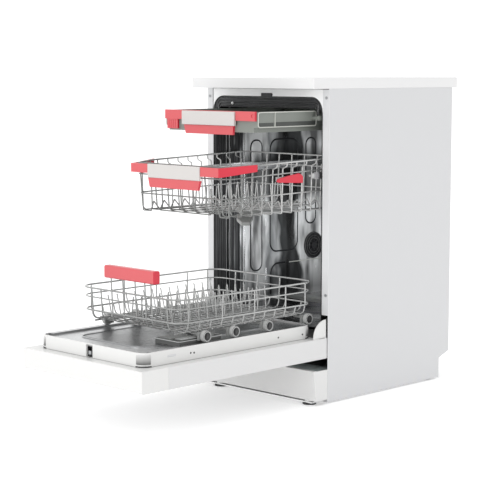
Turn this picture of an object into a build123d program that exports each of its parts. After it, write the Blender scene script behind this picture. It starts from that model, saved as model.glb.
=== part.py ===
from build123d import *
import math
import os

os.makedirs("parts", exist_ok=True)

# Slim freestanding dishwasher, door let down, racks drawn out.
# Axes: X to the right, Y to the rear, Z up, in millimetres. The origin is on the
# floor at the centre of the whole footprint. The helpers below take Y measured
# from the cabinet's front frame plane, and YF moves that plane to its place.

# ---------------------------------------------------------------- driving sizes
YF = 51.5            # front frame plane, from the footprint's centre
HALF_W = 224.0       # half the cabinet's width
TOP_Z = 845.0        # top of the worktop
TOP_T = 28.0         # worktop thickness
TOP_Y0, TOP_Y1 = -59.3, 538.0
SHEET = 1.0          # cabinet sheet steel
SIDE_Y1 = 514.0      # rear edge of the side panels
FLANGE_X = 202.0     # inner edge of the front flanges
TUB_X = 199.0        # inside half width of the tub
TUB_Y0, TUB_Y1 = 2.0, 527.0
TUB_Z0, TUB_Z1 = 196.0, 793.0
TUB_R = 30.0         # tub's long corner radius
TRACK_Z = 208.8      # top of the wheel tracks
GASKET_T = 3.3
SUMP_Y = 265.0       # centre of sump and lower spray arm
FILTER_X = 50.0
PIVOT_Y, PIVOT_Z = -3.5, 175.5   # door hinge axis
PIN_R = 4.0
DOOR_Y0, DOOR_Y1 = -641.0, 70.0
DOOR_Z0, DOOR_Z1 = 121.0, 174.5
INNER_X, INNER_Z = 195.0, 209.0  # raised inner box of the door
FASCIA_Y = -557.0    # seam between control fascia and outer panel
WHEEL_R = 14.2
WHEEL_Z = 223.5
WHEEL_YS = (-400.0, -302.0, -183.0, -34.0)
LOW_Y0, LOW_Y1 = -492.0, -8.0    # lower basket's rim, wire centres
LOW_X, LOW_R = 188.0, 44.0
UP_Y0, UP_Y1 = -318.0, 104.0     # upper basket's rim
UP_X = 188.0
RIM_D, WIRE_D, TINE_D = 4.4, 3.5, 3.2
ARM_Y = -80.0        # upper spray arm's centre
TRAY_Y0, TRAY_Y1 = -205.0, 247.0


# --------------------------------------------------------------------- helpers
def block(x0, x1, y0, y1, z0, z1, mode=Mode.ADD):
    with Locations(((x0 + x1) / 2, (y0 + y1) / 2 + YF, (z0 + z1) / 2)):
        Box(x1 - x0, y1 - y0, z1 - z0, mode=mode)


def cyl_z(x, y, z0, z1, r, mode=Mode.ADD):
    with Locations((x, y + YF, (z0 + z1) / 2)):
        Cylinder(r, z1 - z0, mode=mode)


def cyl_x(x0, x1, y, z, r, mode=Mode.ADD):
    with Locations(Location(((x0 + x1) / 2, y + YF, z), (0, 90, 0))):
        Cylinder(r, x1 - x0, mode=mode)


def cyl_y(x, y0, y1, z, r, mode=Mode.ADD):
    with Locations(Location((x, (y0 + y1) / 2 + YF, z), (90, 0, 0))):
        Cylinder(r, y1 - y0, mode=mode)


def prism_x(points, x0, x1):
    """Outline in (y, z), carried from x0 to x1."""
    with BuildPart() as prism:
        with BuildSketch(Plane.YZ.offset(x0)):
            with BuildLine():
                Polyline(*[(y + YF, z) for y, z in points], close=True)
            make_face()
        extrude(amount=x1 - x0)
    return prism.part


def prism_z(points, z0, z1):
    """Outline in (x, y), carried from z0 to z1."""
    with BuildPart() as prism:
        with BuildSketch(Plane.XY.offset(z0)):
            with BuildLine():
                Polyline(*[(x, y + YF) for x, y in points], close=True)
            make_face()
        extrude(amount=z1 - z0)
    return prism.part


def slab(x0, x1, y0, y1, z0, z1):
    """One box as a solid of its own."""
    with BuildPart() as plate:
        block(x0, x1, y0, y1, z0, z1)
    return plate.part.solid()


def drilled(x0, x1, y0, y1, z0, z1, holes, axis="z"):
    """Box with round holes: (first, second coordinate, radius) across its axis."""
    with BuildPart() as plate:
        block(x0, x1, y0, y1, z0, z1)
        for a, b, r in holes:
            if axis == "z":
                cyl_z(a, b, z0 - 1, z1 + 1, r, Mode.SUBTRACT)
            else:
                cyl_y(a, y0 - 1, y1 + 1, b, r, Mode.SUBTRACT)
    return plate.part.solid()


def wire(points, dia, bend=None, closed=False):
    """Round wire along a bent path: one solid for each straight run and each bend."""
    shifted = [(x, y + YF, z) for x, y, z in points]
    with BuildLine() as path:
        if bend is None:
            Polyline(*shifted, close=closed)
        else:
            FilletPolyline(*shifted, radius=bend, close=closed)
    spans = []
    for edge in path.edges():
        with BuildPart() as span:
            with BuildSketch(Plane(origin=edge @ 0, z_dir=edge % 0)):
                Circle(dia / 2)
            sweep(path=edge)
        spans.append(span.part.solid())
    return spans


def ring(x, y0, y1, z, r, dia, rise=0.0):
    """Closed basket ring with rounded corners; it can rise towards the rear."""
    return wire([(-x, y0, z), (x, y0, z), (x, y1, z + rise), (-x, y1, z + rise)], dia, r, True)


def save(builder, name):
    builder.part.label = name
    export_step(builder.part, "parts/" + name + ".step")
    print(name, "solids", len(builder.part.solids()))


# =================================================================== CABINET
# Worktop: 28 mm board, rounded at its corners and upper edge.
with BuildPart() as worktop:
    block(-HALF_W, HALF_W, TOP_Y0, TOP_Y1, TOP_Z - TOP_T, TOP_Z)
    fillet(worktop.edges().filter_by(Axis.Z), radius=4)
    fillet(worktop.faces().sort_by(Axis.Z)[-1].edges(), radius=2)
save(worktop, "worktop")

# Side panels: folded sheet with a front, rear and bottom flange, as touching sheets.
side_front = prism_x([(0, 4), (470, 4), (470, 817), (0, 817)], HALF_W - SHEET, HALF_W).solid()
side_rear = prism_x([(470, 59), (SIDE_Y1, 75), (SIDE_Y1, 817), (470, 817)], HALF_W - SHEET, HALF_W).solid()
side_sheets = [
    side_front, side_rear,
    drilled(FLANGE_X, HALF_W - SHEET, 0, SHEET, 232, 817, ((214.5, 794, 2.0), (215.6, 284.6, 2.0)), "y"),
    slab(205, HALF_W - SHEET, 0, 470, 4, 4 + SHEET),
    slab(210, HALF_W - SHEET, SIDE_Y1 - SHEET, SIDE_Y1, 75, 817),
]
with BuildPart() as side_panel_right:
    add(side_sheets, mode=Mode.REPLACE)
save(side_panel_right, "side_panel_right")
with BuildPart() as side_panel_left:
    add([sheet.mirror(Plane.YZ) for sheet in side_sheets], mode=Mode.REPLACE)
save(side_panel_left, "side_panel_left")

# Back panel: pressed pan over the tub's rear, with stiffening beads, as touching sheets.
with BuildPart() as back_sheet:
    block(-205, 205, 531, 532, 91, 811)
    for z in (190, 330, 470, 610, 730):
        with Locations((0, 532.7 + YF, z)):
            Box(300, 1.4, 9)
back_sheets = [back_sheet.part.solid()]
back_sheets += [slab(-206, -205, 514, 532, 90, 812), slab(205, 206, 514, 532, 90, 812)]
back_sheets += [slab(-205, 205, 514, 532, 90, 91), slab(-205, 205, 514, 532, 811, 812)]
rim_holes = ((110, 2.2), (440, 2.2), (780, 2.2))
back_sheets += [drilled(-222, -206, 514, 515, 78, 816, [(-214, z, r) for z, r in rim_holes], "y")]
back_sheets += [drilled(206, 222, 514, 515, 78, 816, [(214, z, r) for z, r in rim_holes], "y")]
back_sheets += [slab(-206, 206, 514, 515, 78, 90), slab(-206, 206, 514, 515, 812, 816)]
with BuildPart() as back_panel:
    add(back_sheets, mode=Mode.REPLACE)
save(back_panel, "back_panel")

# Front frame: inverted U of sheet steel above the opening.
with BuildPart() as front_frame:
    block(-201.8, 201.8, 0, 1.5, 757, 817)
    with BuildSketch(Plane(origin=(0, -1 + YF, 0), x_dir=(1, 0, 0), z_dir=(0, -1, 0))):
        with Locations((0, 700)):
            RectangleRounded(402, 192, 38)
    extrude(amount=-4, mode=Mode.SUBTRACT)
    block(-201.8, 201.8, 1.5, 24, 815.5, 817)
    block(-20, 24, -1, 3, 798, 802, Mode.SUBTRACT)
save(front_frame, "front_frame")

# Base tray: moulded floor with low walls, bosses for the feet, and the ledge
# that bridges the gap behind the kick plate.
FEET = ((-141, -30.5), (188, -30.5), (-188, 438), (196, 438))
base_parts = [
    drilled(-221.5, 221.5, 2, 466, 5, 8, [(x, y, 5.2) for x, y in FEET if y > 2]),
    drilled(-208, 208, -43.5, 2, 5, 8, [(x, y, 5.2) for x, y in FEET if y < 2]),
    drilled(-221.5, 221.5, 462, 466, 8, 100, ((150, 45, 15.2), (-150, 60, 12.2)), "y"),
    slab(-221.5, -218.5, 90, 462, 8, 150), slab(218.5, 221.5, 90, 462, 8, 150),
    slab(-221.5, -218.5, 2, 90, 8, 83), slab(218.5, 221.5, 2, 90, 8, 83),
    slab(-208, 208, -43.5, 2, 83, 86), slab(-221.5, 221.5, 2, 40, 83, 86),
    slab(-218.5, 218.5, 36, 40, 8, 83), slab(-208, 208, -43.5, -40.5, 70, 83),
]
base_parts += [slab(x - 1.2, x + 1.2, -40.5, 36, 74, 83) for x in (-150, -75, 0, 75, 150)]
for x, y in FEET:
    with BuildPart() as boss:
        cyl_z(x, y, 8, 34, 11)
        cyl_z(x, y, 4, 35, 5.2, Mode.SUBTRACT)
    base_parts.append(boss.part.solid())
with BuildPart() as base_tray:
    add(base_parts, mode=Mode.REPLACE)
save(base_tray, "base_tray")

# Levelling feet: threaded rod and wide pad.
with BuildPart() as leveling_feet:
    for x, y in FEET:
        cyl_z(x, y, 0, 3.5, 18)
        cyl_z(x, y, 3.5, 4.8, 9)
        cyl_z(x, y, 4.8, 30, 4.9)
save(leveling_feet, "leveling_feet")

# Kick plate: leaning front sheet with side returns.
kick_front = prism_x([(-55.6, 91), (-44.4, 12), (-43.2, 12), (-54.4, 91)], -HALF_W, HALF_W)
kick_lip = prism_x([(-55.6, 91), (-55.4, 92.2), (-44, 92.2), (-44, 91)], -HALF_W, HALF_W)
kick_side = prism_x([(-54.4, 91), (-43.2, 12), (-0.6, 12), (-0.6, 91)], HALF_W - 1.2, HALF_W)
with BuildPart() as kick_plate:
    add(kick_front)
    add(kick_lip)
    add(kick_side)
    mirror(about=Plane.YZ)
save(kick_plate, "kick_plate")

# Tub: deep-drawn steel box with a flange, wheel tracks and wall embossings, built
# of touching sheets: flat walls, bent corners and a floor parted around the sump.
EMBOSSED = ((144, 188, 300, 667, 20), (224, 338, 345, 667, 24), (374, 416, 417, 667, 19), (226, 345, 214, 309, 30))


def wall(side):
    """Side wall with four shallow rounded fields pressed outwards."""
    with BuildPart() as sheet:
        xa, xb = sorted((side * TUB_X, side * (TUB_X + 1)))
        block(xa, xb, TUB_Y0, TUB_Y1, TUB_Z0 + TUB_R, TUB_Z1 - TUB_R)
        for start, depth, cut, mode in ((TUB_X + 1, 0.8, 0.0, Mode.ADD), (TUB_X, 0.8, 1.0, Mode.SUBTRACT)):
            for y0, y1, z0, z1, r in EMBOSSED:
                if z0 < TUB_Z0 + TUB_R:
                    z0 = TUB_Z0 + TUB_R + 4
                with BuildSketch(Plane(origin=(side * start, YF, 0), x_dir=(0, 1, 0), z_dir=(1, 0, 0))):
                    with Locations(((y0 + y1) / 2, (z0 + z1) / 2)):
                        RectangleRounded(y1 - y0 - 2 * cut, z1 - z0 - 2 * cut, r - cut)
                extrude(amount=side * depth, mode=mode)
    return sheet.part.solid()


def corner(x, z, angle):
    """Half of a bent corner between two walls, 45 degrees of arc."""
    with BuildPart() as sheet:
        with BuildSketch(Plane(origin=(0, TUB_Y0 + YF, 0), x_dir=(1, 0, 0), z_dir=(0, -1, 0))):
            with BuildLine():
                inner = CenterArc((x, z), TUB_R, angle, 45)
                outer = CenterArc((x, z), TUB_R + 1, angle, 45)
                Line(inner @ 0, outer @ 0)
                Line(inner @ 1, outer @ 1)
            make_face()
        extrude(amount=-(TUB_Y1 - TUB_Y0))
    return sheet.part.solid()


def flange_corner(side):
    """Flat corner of the flange, open along the tub's round corner."""
    with BuildPart() as sheet:
        xa, xb = sorted((side * (TUB_X - TUB_R), side * 212))
        block(xa, xb, TUB_Y0, TUB_Y0 + 1, TUB_Z1 - TUB_R, 805)
        cyl_y(side * (TUB_X - TUB_R), TUB_Y0 - 2, TUB_Y0 + 2, TUB_Z1 - TUB_R, TUB_R + 1, Mode.SUBTRACT)
    return sheet.part.solid()


def floor_sector(k, n=12):
    """Part of the square floor field around the sump's mouth."""
    a0, a1 = 360.0 * k / n, 360.0 * (k + 1) / n
    wedge = prism_z(
        [(0, SUMP_Y)] + [(200 * math.cos(math.radians(a)), SUMP_Y + 200 * math.sin(math.radians(a))) for a in (a0, a1)],
        TUB_Z0 - 2, TUB_Z0 + 1)
    with BuildPart() as sheet:
        block(-90, 90, SUMP_Y - 90, SUMP_Y + 90, TUB_Z0 - 1, TUB_Z0)
        cyl_z(0, SUMP_Y, TUB_Z0 - 2, TUB_Z0 + 1, 86.5, Mode.SUBTRACT)
        add(wedge, mode=Mode.INTERSECT)
    return sheet.part.solid()


flat = TUB_X - TUB_R
with BuildPart() as rear_wall:
    with BuildSketch(Plane(origin=(0, TUB_Y1 + YF, 0), x_dir=(1, 0, 0), z_dir=(0, -1, 0))):
        with Locations((0, (TUB_Z0 + TUB_Z1) / 2)):
            RectangleRounded(2 * TUB_X + 2, TUB_Z1 - TUB_Z0 + 2, TUB_R + 1)
    extrude(amount=-1)
    for x in (-130, -80, 80, 130):
        block(x - 14, x + 14, TUB_Y1 - 1.2, TUB_Y1 + 0.5, 300, 700)
tub_sheets = [wall(-1), wall(1), rear_wall.part.solid(), slab(-flat, flat, TUB_Y0, TUB_Y1, TUB_Z1, TUB_Z1 + 1)]
for x, z, angle in ((flat, TUB_Z1 - TUB_R, 0), (-flat, TUB_Z1 - TUB_R, 90),
                    (-flat, TUB_Z0 + TUB_R, 180), (flat, TUB_Z0 + TUB_R, 270)):
    tub_sheets += [corner(x, z, angle), corner(x, z, angle + 45)]
tub_sheets += [
    slab(-flat, flat, TUB_Y0, SUMP_Y - 90, TUB_Z0 - 1, TUB_Z0),
    drilled(-flat, flat, SUMP_Y + 90, TUB_Y1, TUB_Z0 - 1, TUB_Z0, ((-125, 420, 33.5),)),
    slab(-flat, -90, SUMP_Y - 90, SUMP_Y + 90, TUB_Z0 - 1, TUB_Z0),
    slab(90, flat, SUMP_Y - 90, SUMP_Y + 90, TUB_Z0 - 1, TUB_Z0),
]
tub_sheets += [floor_sector(k) for k in range(12)]
tub_sheets += [
    slab(-212, -TUB_X - 1, TUB_Y0, TUB_Y0 + 1, 240, TUB_Z1 - TUB_R),
    slab(TUB_X + 1, 212, TUB_Y0, TUB_Y0 + 1, 240, TUB_Z1 - TUB_R),
    slab(-flat, flat, TUB_Y0, TUB_Y0 + 1, TUB_Z1 + 1, 805), flange_corner(-1), flange_corner(1),
]
for s in (-1, 1):
    with BuildPart() as track:
        xa, xb = sorted((s * 176, s * 192))
        block(xa, xb, 36, 514, TUB_Z0, TRACK_Z)
        cyl_y(s * flat, 30, 520, TUB_Z0 + TUB_R, TUB_R, Mode.INTERSECT)
    tub_sheets.append(track.part.solid())
with BuildPart() as tub:
    add(tub_sheets, mode=Mode.REPLACE)
save(tub, "tub")

# Tub gasket: moulded rubber around the opening, with running grooves.
with BuildPart() as tub_gasket:
    g = TUB_X - 0.15
    with BuildSketch(Plane(origin=(0, 3.2 + YF, 0), x_dir=(1, 0, 0), z_dir=(0, -1, 0))):
        with Locations((0, (TUB_Z0 + TUB_Z1) / 2)):
            RectangleRounded(2 * g, TUB_Z1 - TUB_Z0 - 0.3, TUB_R)
        with Locations((0, 450)):
            RectangleRounded(2 * (TUB_X - GASKET_T - 0.15), 632, 14, mode=Mode.SUBTRACT)
        with Locations((0, 150)):
            Rectangle(420, 120, mode=Mode.SUBTRACT)
    extrude(amount=-38.8)
    for y in (9, 16, 23, 30, 36):
        with BuildSketch(Plane(origin=(0, y + YF, 0), x_dir=(1, 0, 0), z_dir=(0, -1, 0))):
            with Locations((0, 450)):
                RectangleRounded(2 * (TUB_X - GASKET_T - 0.15) + 2.4, 634.4, 15)
        extrude(amount=-3.0, mode=Mode.SUBTRACT)
save(tub_gasket, "tub_gasket")

# Striker in the frame's middle: keeper plate with a mouth for the door's hook.
with BuildPart() as door_striker:
    block(-17, 22, -1.6, -0.05, 794.8, 804.2)
    block(-19.5, 23.5, 1.6, 1.95, 794.6, 803)
    block(-9, 9, -3, 0.5, 797.5, 800.5, Mode.SUBTRACT)
save(door_striker, "door_striker")

# Vent cap on the left wall: ring, hub and spokes.
with BuildPart() as vent_cap:
    cyl_x(-198.9, -194.5, 406, 350, 39)
    cyl_x(-199.5, -193, 406, 350, 34, Mode.SUBTRACT)
    cyl_x(-198.9, -194.5, 406, 350, 24)
    cyl_x(-199.5, -193, 406, 350, 20, Mode.SUBTRACT)
    cyl_x(-198.9, -194.5, 406, 350, 9)
    with Locations((-196.7, 406 + YF, 350)):
        for angle in (0, 45, 90, 135):
            Box(4.4, 70, 3.2, rotation=(angle, 0, 0))
save(vent_cap, "vent_cap")

# Sump: cup under the tub floor with an outlet for the pump.


def ring_sector(x, y, z0, z1, r_in, r_out, k, n):
    """Slice of an upright tube."""
    a0, a1 = math.radians(360.0 * k / n), math.radians(360.0 * (k + 1) / n)
    wedge = prism_z([(x, y), (x + 3 * r_out * math.cos(a0), y + 3 * r_out * math.sin(a0)),
                     (x + 3 * r_out * math.cos(a1), y + 3 * r_out * math.sin(a1))], z0 - 1, z1 + 1)
    with BuildPart() as slice_part:
        cyl_z(x, y, z0, z1, r_out)
        cyl_z(x, y, z0 - 1, z1 + 1, r_in, Mode.SUBTRACT)
        add(wedge, mode=Mode.INTERSECT)
        if z0 < 140 < z1 and k == 9:
            cyl_y(20, 148, 220, 140, 12, Mode.SUBTRACT)
    return slice_part.part.solid()


with BuildPart() as sump_floor:
    cyl_z(0, SUMP_Y, 118, 121, 84.5)
with BuildPart() as sump_post:
    cyl_z(0, SUMP_Y, 121, 188, 14)
sump_parts = [sump_floor.part.solid(), sump_post.part.solid()]
sump_parts += [ring_sector(0, SUMP_Y, 121, 194.5, 82, 84.5, k, 12) for k in range(12)]
sump_parts += [ring_sector(0, SUMP_Y, 196.2, 198.4, 82, 93, k, 12) for k in range(12)]
sump_parts += [ring_sector(0, SUMP_Y, 194.5, 196.2, 82, 86.2, k, 12) for k in range(12)]
with BuildPart() as outlet:
    cyl_y(20, 150, 195, 140, 15)
    cyl_y(20, 148, 196, 140, 12, Mode.SUBTRACT)
    cyl_z(0, SUMP_Y, 118, 196, 84.5, Mode.SUBTRACT)
sump_parts += [outlet.part.solid()]
with BuildPart() as sump:
    add(sump_parts, mode=Mode.REPLACE)
save(sump, "sump")

# Filter plate: round grid in the sump's mouth.
with BuildPart() as filter_plate:
    cyl_z(0, SUMP_Y, 190, 192.6, 81.6)
    cyl_z(FILTER_X, SUMP_Y, 189, 194, 27.3, Mode.SUBTRACT)
    cyl_z(0, SUMP_Y, 189, 194, 14.6, Mode.SUBTRACT)
    with Locations((-46, SUMP_Y + YF, 191)):
        with GridLocations(9, 9, 5, 9):
            Cylinder(2.4, 6, mode=Mode.SUBTRACT)
save(filter_plate, "filter_plate")

# Filter cylinder: fine sieve with a grip, quarter turn to release.
with BuildPart() as filter_cylinder:
    cyl_z(FILTER_X, SUMP_Y, 126, 196.5, 26)
    cyl_z(FILTER_X, SUMP_Y, 129, 200, 23.5, Mode.SUBTRACT)
    cyl_z(FILTER_X, SUMP_Y, 193.2, 196.5, 31)
    cyl_z(FILTER_X, SUMP_Y, 129, 200, 23.5, Mode.SUBTRACT)
    block(FILTER_X - 25, FILTER_X + 25, SUMP_Y - 2.5, SUMP_Y + 2.5, 190, 205)
    block(FILTER_X - 2.5, FILTER_X + 2.5, SUMP_Y - 25, SUMP_Y + 25, 190, 200)
save(filter_cylinder, "filter_cylinder")

# Lower spray arm: two-armed rotor on the sump's tower.
arm_low = prism_z(
    [(-165, SUMP_Y - 14), (-60, SUMP_Y - 19), (60, SUMP_Y - 22), (165, SUMP_Y - 10),
     (165, SUMP_Y + 14), (60, SUMP_Y + 19), (-60, SUMP_Y + 22), (-165, SUMP_Y + 10)],
    213, 223)
with BuildPart() as lower_spray_arm:
    add(arm_low)
    fillet(lower_spray_arm.edges().filter_by(Axis.Z), radius=6)
    fillet(lower_spray_arm.faces().sort_by(Axis.Z)[-1].edges(), radius=3)
    cyl_z(0, SUMP_Y, 206.5, 226, 24)
    cyl_z(0, SUMP_Y, 188.4, 207, 13)
    for x in (-150, -120, -88, -55, 48, 80, 112, 142):
        with Locations((x, SUMP_Y + YF, 223)):
            Cylinder(2.0, 6, mode=Mode.SUBTRACT)
save(lower_spray_arm, "lower_spray_arm")

# Softener below the floor, its neck through the tub, and the salt cap.
with BuildPart() as water_softener:
    block(-196, -70, 345, 455, 84, 188)
    fillet(water_softener.edges().filter_by(Axis.Z), radius=10)
    cyl_z(-125, 420, 188, 198.5, 33)
    cyl_z(-125, 420, 150, 199, 26, Mode.SUBTRACT)
save(water_softener, "water_softener")
with BuildPart() as salt_cap:
    cyl_z(-125, 420, 198.8, 206, 32)
    cyl_z(-125, 420, 180, 198.8, 25.6)
    cyl_z(-125, 420, 179, 202, 22, Mode.SUBTRACT)
    block(-147, -103, 417, 423, 206, 211)
    fillet(salt_cap.faces().sort_by(Axis.Z)[-1].edges(), radius=1.5)
save(salt_cap, "salt_cap")

# Feed duct up the rear wall, with its docking nozzle.
with BuildPart() as feed_duct:
    block(-36, 36, 518.5, 525.6, 215, 470)
    block(-24, 24, 506, 525.6, 470, 540)
    fillet(feed_duct.edges().filter_by(Axis.Z), radius=2)
    cyl_y(0, 496, 506, 505, 13)
    cyl_y(0, 494, 515, 505, 9.5, Mode.SUBTRACT)
save(feed_duct, "feed_duct")

# Pumps, inlet valve and drain spigot in the base.
with BuildPart() as circulation_pump:
    cyl_y(20, 136, 149.8, 140, 22)
    cyl_y(20, 92, 136, 140, 34)
    cyl_y(20, 145, 150, 140, 12, Mode.SUBTRACT)
    block(-10, 50, 96, 132, 86.2, 112)
save(circulation_pump, "circulation_pump")
with BuildPart() as drain_pump:
    cyl_x(-110, -70, 130, 60, 24)
    cyl_x(-140, -110, 130, 60, 16)
    cyl_y(-90, 150, 175, 60, 9)
    block(-112, -68, 112, 148, 8.4, 42)
save(drain_pump, "drain_pump")
with BuildPart() as inlet_valve:
    cyl_y(150, 467, 495, 45, 13.22)
    cyl_y(150, 420, 467, 45, 15)
    cyl_y(150, 478, 500, 45, 9.5, Mode.SUBTRACT)
    block(132, 168, 425, 452, 45, 78)
    block(140, 160, 440, 461, 8.3, 45)
save(inlet_valve, "inlet_valve")
with BuildPart() as drain_spigot:
    cyl_y(-150, 430, 504, 60, 10.5)
    cyl_y(-150, 456, 461.8, 60, 17)
    cyl_y(-150, 466.2, 470, 60, 17)
    cyl_y(-150, 425, 510, 60, 8, Mode.SUBTRACT)
save(drain_spigot, "drain_spigot")

# Telescopic rails of the upper basket: fixed channel, middle member, and runner.
with BuildPart() as basket_rails_outer:
    block(191.9, 198.85, 44, 440, 584, 606)
    block(191, 195.6, 43, 441, 586, 604, Mode.SUBTRACT)
    mirror(about=Plane.YZ)
save(basket_rails_outer, "basket_rails_outer")
with BuildPart() as basket_rails_mid:
    block(191.0, 195.3, -20, 280, 586.3, 603.7)
    block(190, 194.1, -21, 281, 587.8, 602.2, Mode.SUBTRACT)
    mirror(about=Plane.YZ)
save(basket_rails_mid, "basket_rails_mid")
with BuildPart() as basket_runners:
    block(190.4, 193.8, -30, 60, 588.1, 601.9)
    fillet(basket_runners.edges().filter_by(Axis.Y), radius=1.2)
    block(174.5, 190.4, -22, -12, 592, 597)
    block(174.5, 190.4, 36, 46, 592, 597)
    block(174.5, 185.3, -146, -70, 586, 597)
    mirror(about=Plane.YZ)

# Cutlery rails: fixed channels with spacers to the tub wall.
with BuildPart() as cutlery_rails_outer:
    block(187.5, 195.3, 8, 512, 734, 750)
    block(187, 194.1, 7, 513, 735.5, 748.5, Mode.SUBTRACT)
    block(195.3, 198.85, 44, 512, 735, 749)
    mirror(about=Plane.YZ)
save(cutlery_rails_outer, "cutlery_rails_outer")

# Hinge brackets: fixed plates that carry the door's pins.
bracket = prism_x(
    [(-15, 166), (6, 166), (16, 177), (90, 177), (90, 194), (6, 190), (-15, 186)], 213, 216)
with BuildPart() as hinge_brackets:
    add(bracket)
    fillet(hinge_brackets.edges().filter_by(Axis.X), radius=3)
    block(216, 222.8, 46, 88, 180, 192)
    cyl_x(203.4, 217.4, PIVOT_Y, PIVOT_Z, PIN_R)
    mirror(about=Plane.YZ)
save(hinge_brackets, "hinge_brackets")

# Door springs: coil bodies stretched along the base, hooked at both ends.
with BuildPart() as door_springs:
    cyl_y(207, 170, 330, 92, 6)
    for i in range(20):
        y = 174 + 8 * i
        with Locations(Location((207, y + YF, 92), (90, 0, 0))):
            Cylinder(7, 3)
    cyl_y(207, 330, 400, 92, 1.6)
    cyl_y(207, 130, 170, 92, 1.6)
    block(204, 218.4, 400, 403, 84, 100)
    block(204, 218.4, 127, 130, 84, 100)
    mirror(about=Plane.YZ)
save(door_springs, "door_springs")

# Cabinet screws: heads on the front flanges and the rear cover.
with BuildPart() as cabinet_screws:
    for s in (-1, 1):
        for x, z in ((214.5, 794), (215.6, 284.6)):
            cyl_y(s * x, -1.6, 0, z, 3.8)
            cyl_y(s * x, 0, 1.9, z, 1.9)
            cyl_y(s * x, -1.7, -1.0, z, 1.4, Mode.SUBTRACT)
        for z in (110, 440, 780):
            cyl_y(s * 214, 515, 517, z, 4.2)
            cyl_y(s * 214, 514.1, 515, z, 2.1)
save(cabinet_screws, "cabinet_screws")

# ====================================================================== DOOR
# Outer panel: sheet pan whose outer face now looks down. Its lower end, narrower,
# swings in between the side panels and is rounded to pass over the kick plate.
with BuildPart() as lower_end_space:
    block(-220.3, 220.3, -8, DOOR_Y1 - 1, DOOR_Z0 + 1, DOOR_Z1 + 1)
    fillet(lower_end_space.edges().filter_by(Axis.X).group_by(Axis.Z)[0].sort_by(Axis.Y)[-1], radius=11)
with BuildPart() as lower_end:
    block(-221.3, 221.3, -7, DOOR_Y1, DOOR_Z0, DOOR_Z1)
    fillet(lower_end.edges().filter_by(Axis.X).group_by(Axis.Z)[0].sort_by(Axis.Y)[-1], radius=12)
with BuildPart() as door_outer_panel:
    block(-223.5, 223.5, FASCIA_Y, -6, DOOR_Z0, DOOR_Z1)
    block(-222.5, 222.5, FASCIA_Y - 1, -7, DOOR_Z0 + 1, DOOR_Z1 + 1, Mode.SUBTRACT)
    add(lower_end.part)
    add(lower_end_space.part, mode=Mode.SUBTRACT)
save(door_outer_panel, "door_outer_panel")

# Inner box: white frame sheet with a raised, round-cornered centre, and the
# quarter-disc ears that close the gaps beside the pivot. It is made of touching
# sheets, walls and corner slices.
def ear(side):
    with BuildPart() as quarter:
        cyl_x(side * 218.9 - 1.2, side * 218.9 + 1.2, PIVOT_Y, PIVOT_Z, 47)
        block(-230, 230, PIVOT_Y + 0.5, PIVOT_Y + 60, PIVOT_Z - 60, PIVOT_Z + 60, Mode.SUBTRACT)
        block(-230, 230, PIVOT_Y - 60, PIVOT_Y + 1, PIVOT_Z - 60, DOOR_Z1, Mode.SUBTRACT)
    return quarter.part.solid()


BOX_Y0, BOX_Y1, BOX_R = -612.0, -30.0, 26.0
BOX_WALL = 2.5
box_in = INNER_X - BOX_WALL
box_flat = INNER_X - BOX_R
inner_parts = [
    slab(-222.3, 222.3, -639.7, BOX_Y0 + BOX_WALL, 172.3, DOOR_Z1),
    slab(-222.3, 222.3, BOX_Y1 - BOX_WALL, BOX_Y1, 172.3, DOOR_Z1),
    slab(-box_flat, -10, BOX_Y0, BOX_Y0 + BOX_WALL, DOOR_Z1, INNER_Z),
    slab(10, box_flat, BOX_Y0, BOX_Y0 + BOX_WALL, DOOR_Z1, INNER_Z),
    slab(-10, 10, BOX_Y0, BOX_Y0 + BOX_WALL, 205, INNER_Z),
    slab(-10, 10, BOX_Y0, BOX_Y0 + BOX_WALL, DOOR_Z1, 176),
    slab(-box_flat, box_flat, BOX_Y1 - BOX_WALL, BOX_Y1, DOOR_Z1, INNER_Z),
    slab(-box_flat, -10, BOX_Y0 + BOX_WALL, BOX_Y0 + 4, 200, 202.5),
    slab(10, box_flat, BOX_Y0 + BOX_WALL, BOX_Y0 + 4, 200, 202.5),
    slab(-box_flat, box_flat, BOX_Y1 - 4, BOX_Y1 - BOX_WALL, 200, 202.5),
    ear(-1), ear(1),
]
for side in (-1, 1):
    for x0, x1, y0, y1, z0, z1 in (
            (box_in, 222.3, BOX_Y0 + BOX_WALL, BOX_Y1 - BOX_WALL, 172.3, DOOR_Z1),
            (box_in, INNER_X, BOX_Y0 + BOX_R, BOX_Y1 - BOX_R, DOOR_Z1, INNER_Z),
            (box_in - 2.5, box_in, BOX_Y0 + BOX_R, BOX_Y1 - BOX_R, 200, 202.5)):
        xa, xb = sorted((side * x0, side * x1))
        inner_parts.append(slab(xa, xb, y0, y1, z0, z1))
for cx, cy, first in ((box_flat, BOX_Y1 - BOX_R, 0), (-box_flat, BOX_Y1 - BOX_R, 3),
                      (-box_flat, BOX_Y0 + BOX_R, 6), (box_flat, BOX_Y0 + BOX_R, 9)):
    r_in = BOX_R - BOX_WALL
    corner_x = cx + math.copysign(r_in, cx)
    corner_y = cy + (r_in if first < 6 else -r_in)
    for k in range(first, first + 3):
        inner_parts.append(ring_sector(cx, cy, DOOR_Z1, INNER_Z, r_in, BOX_R, k, 12))
        a0, a1 = math.radians(30 * k), math.radians(30 * (k + 1))
        inner_parts.append(prism_z(
            [(cx + r_in * math.cos(a0), cy + r_in * math.sin(a0)),
             (cx + r_in * math.cos(a1), cy + r_in * math.sin(a1)), (corner_x, corner_y)],
            172.3, DOOR_Z1).solid())
with BuildPart() as door_inner_box:
    add(inner_parts, mode=Mode.REPLACE)
save(door_inner_box, "door_inner_box")

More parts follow.
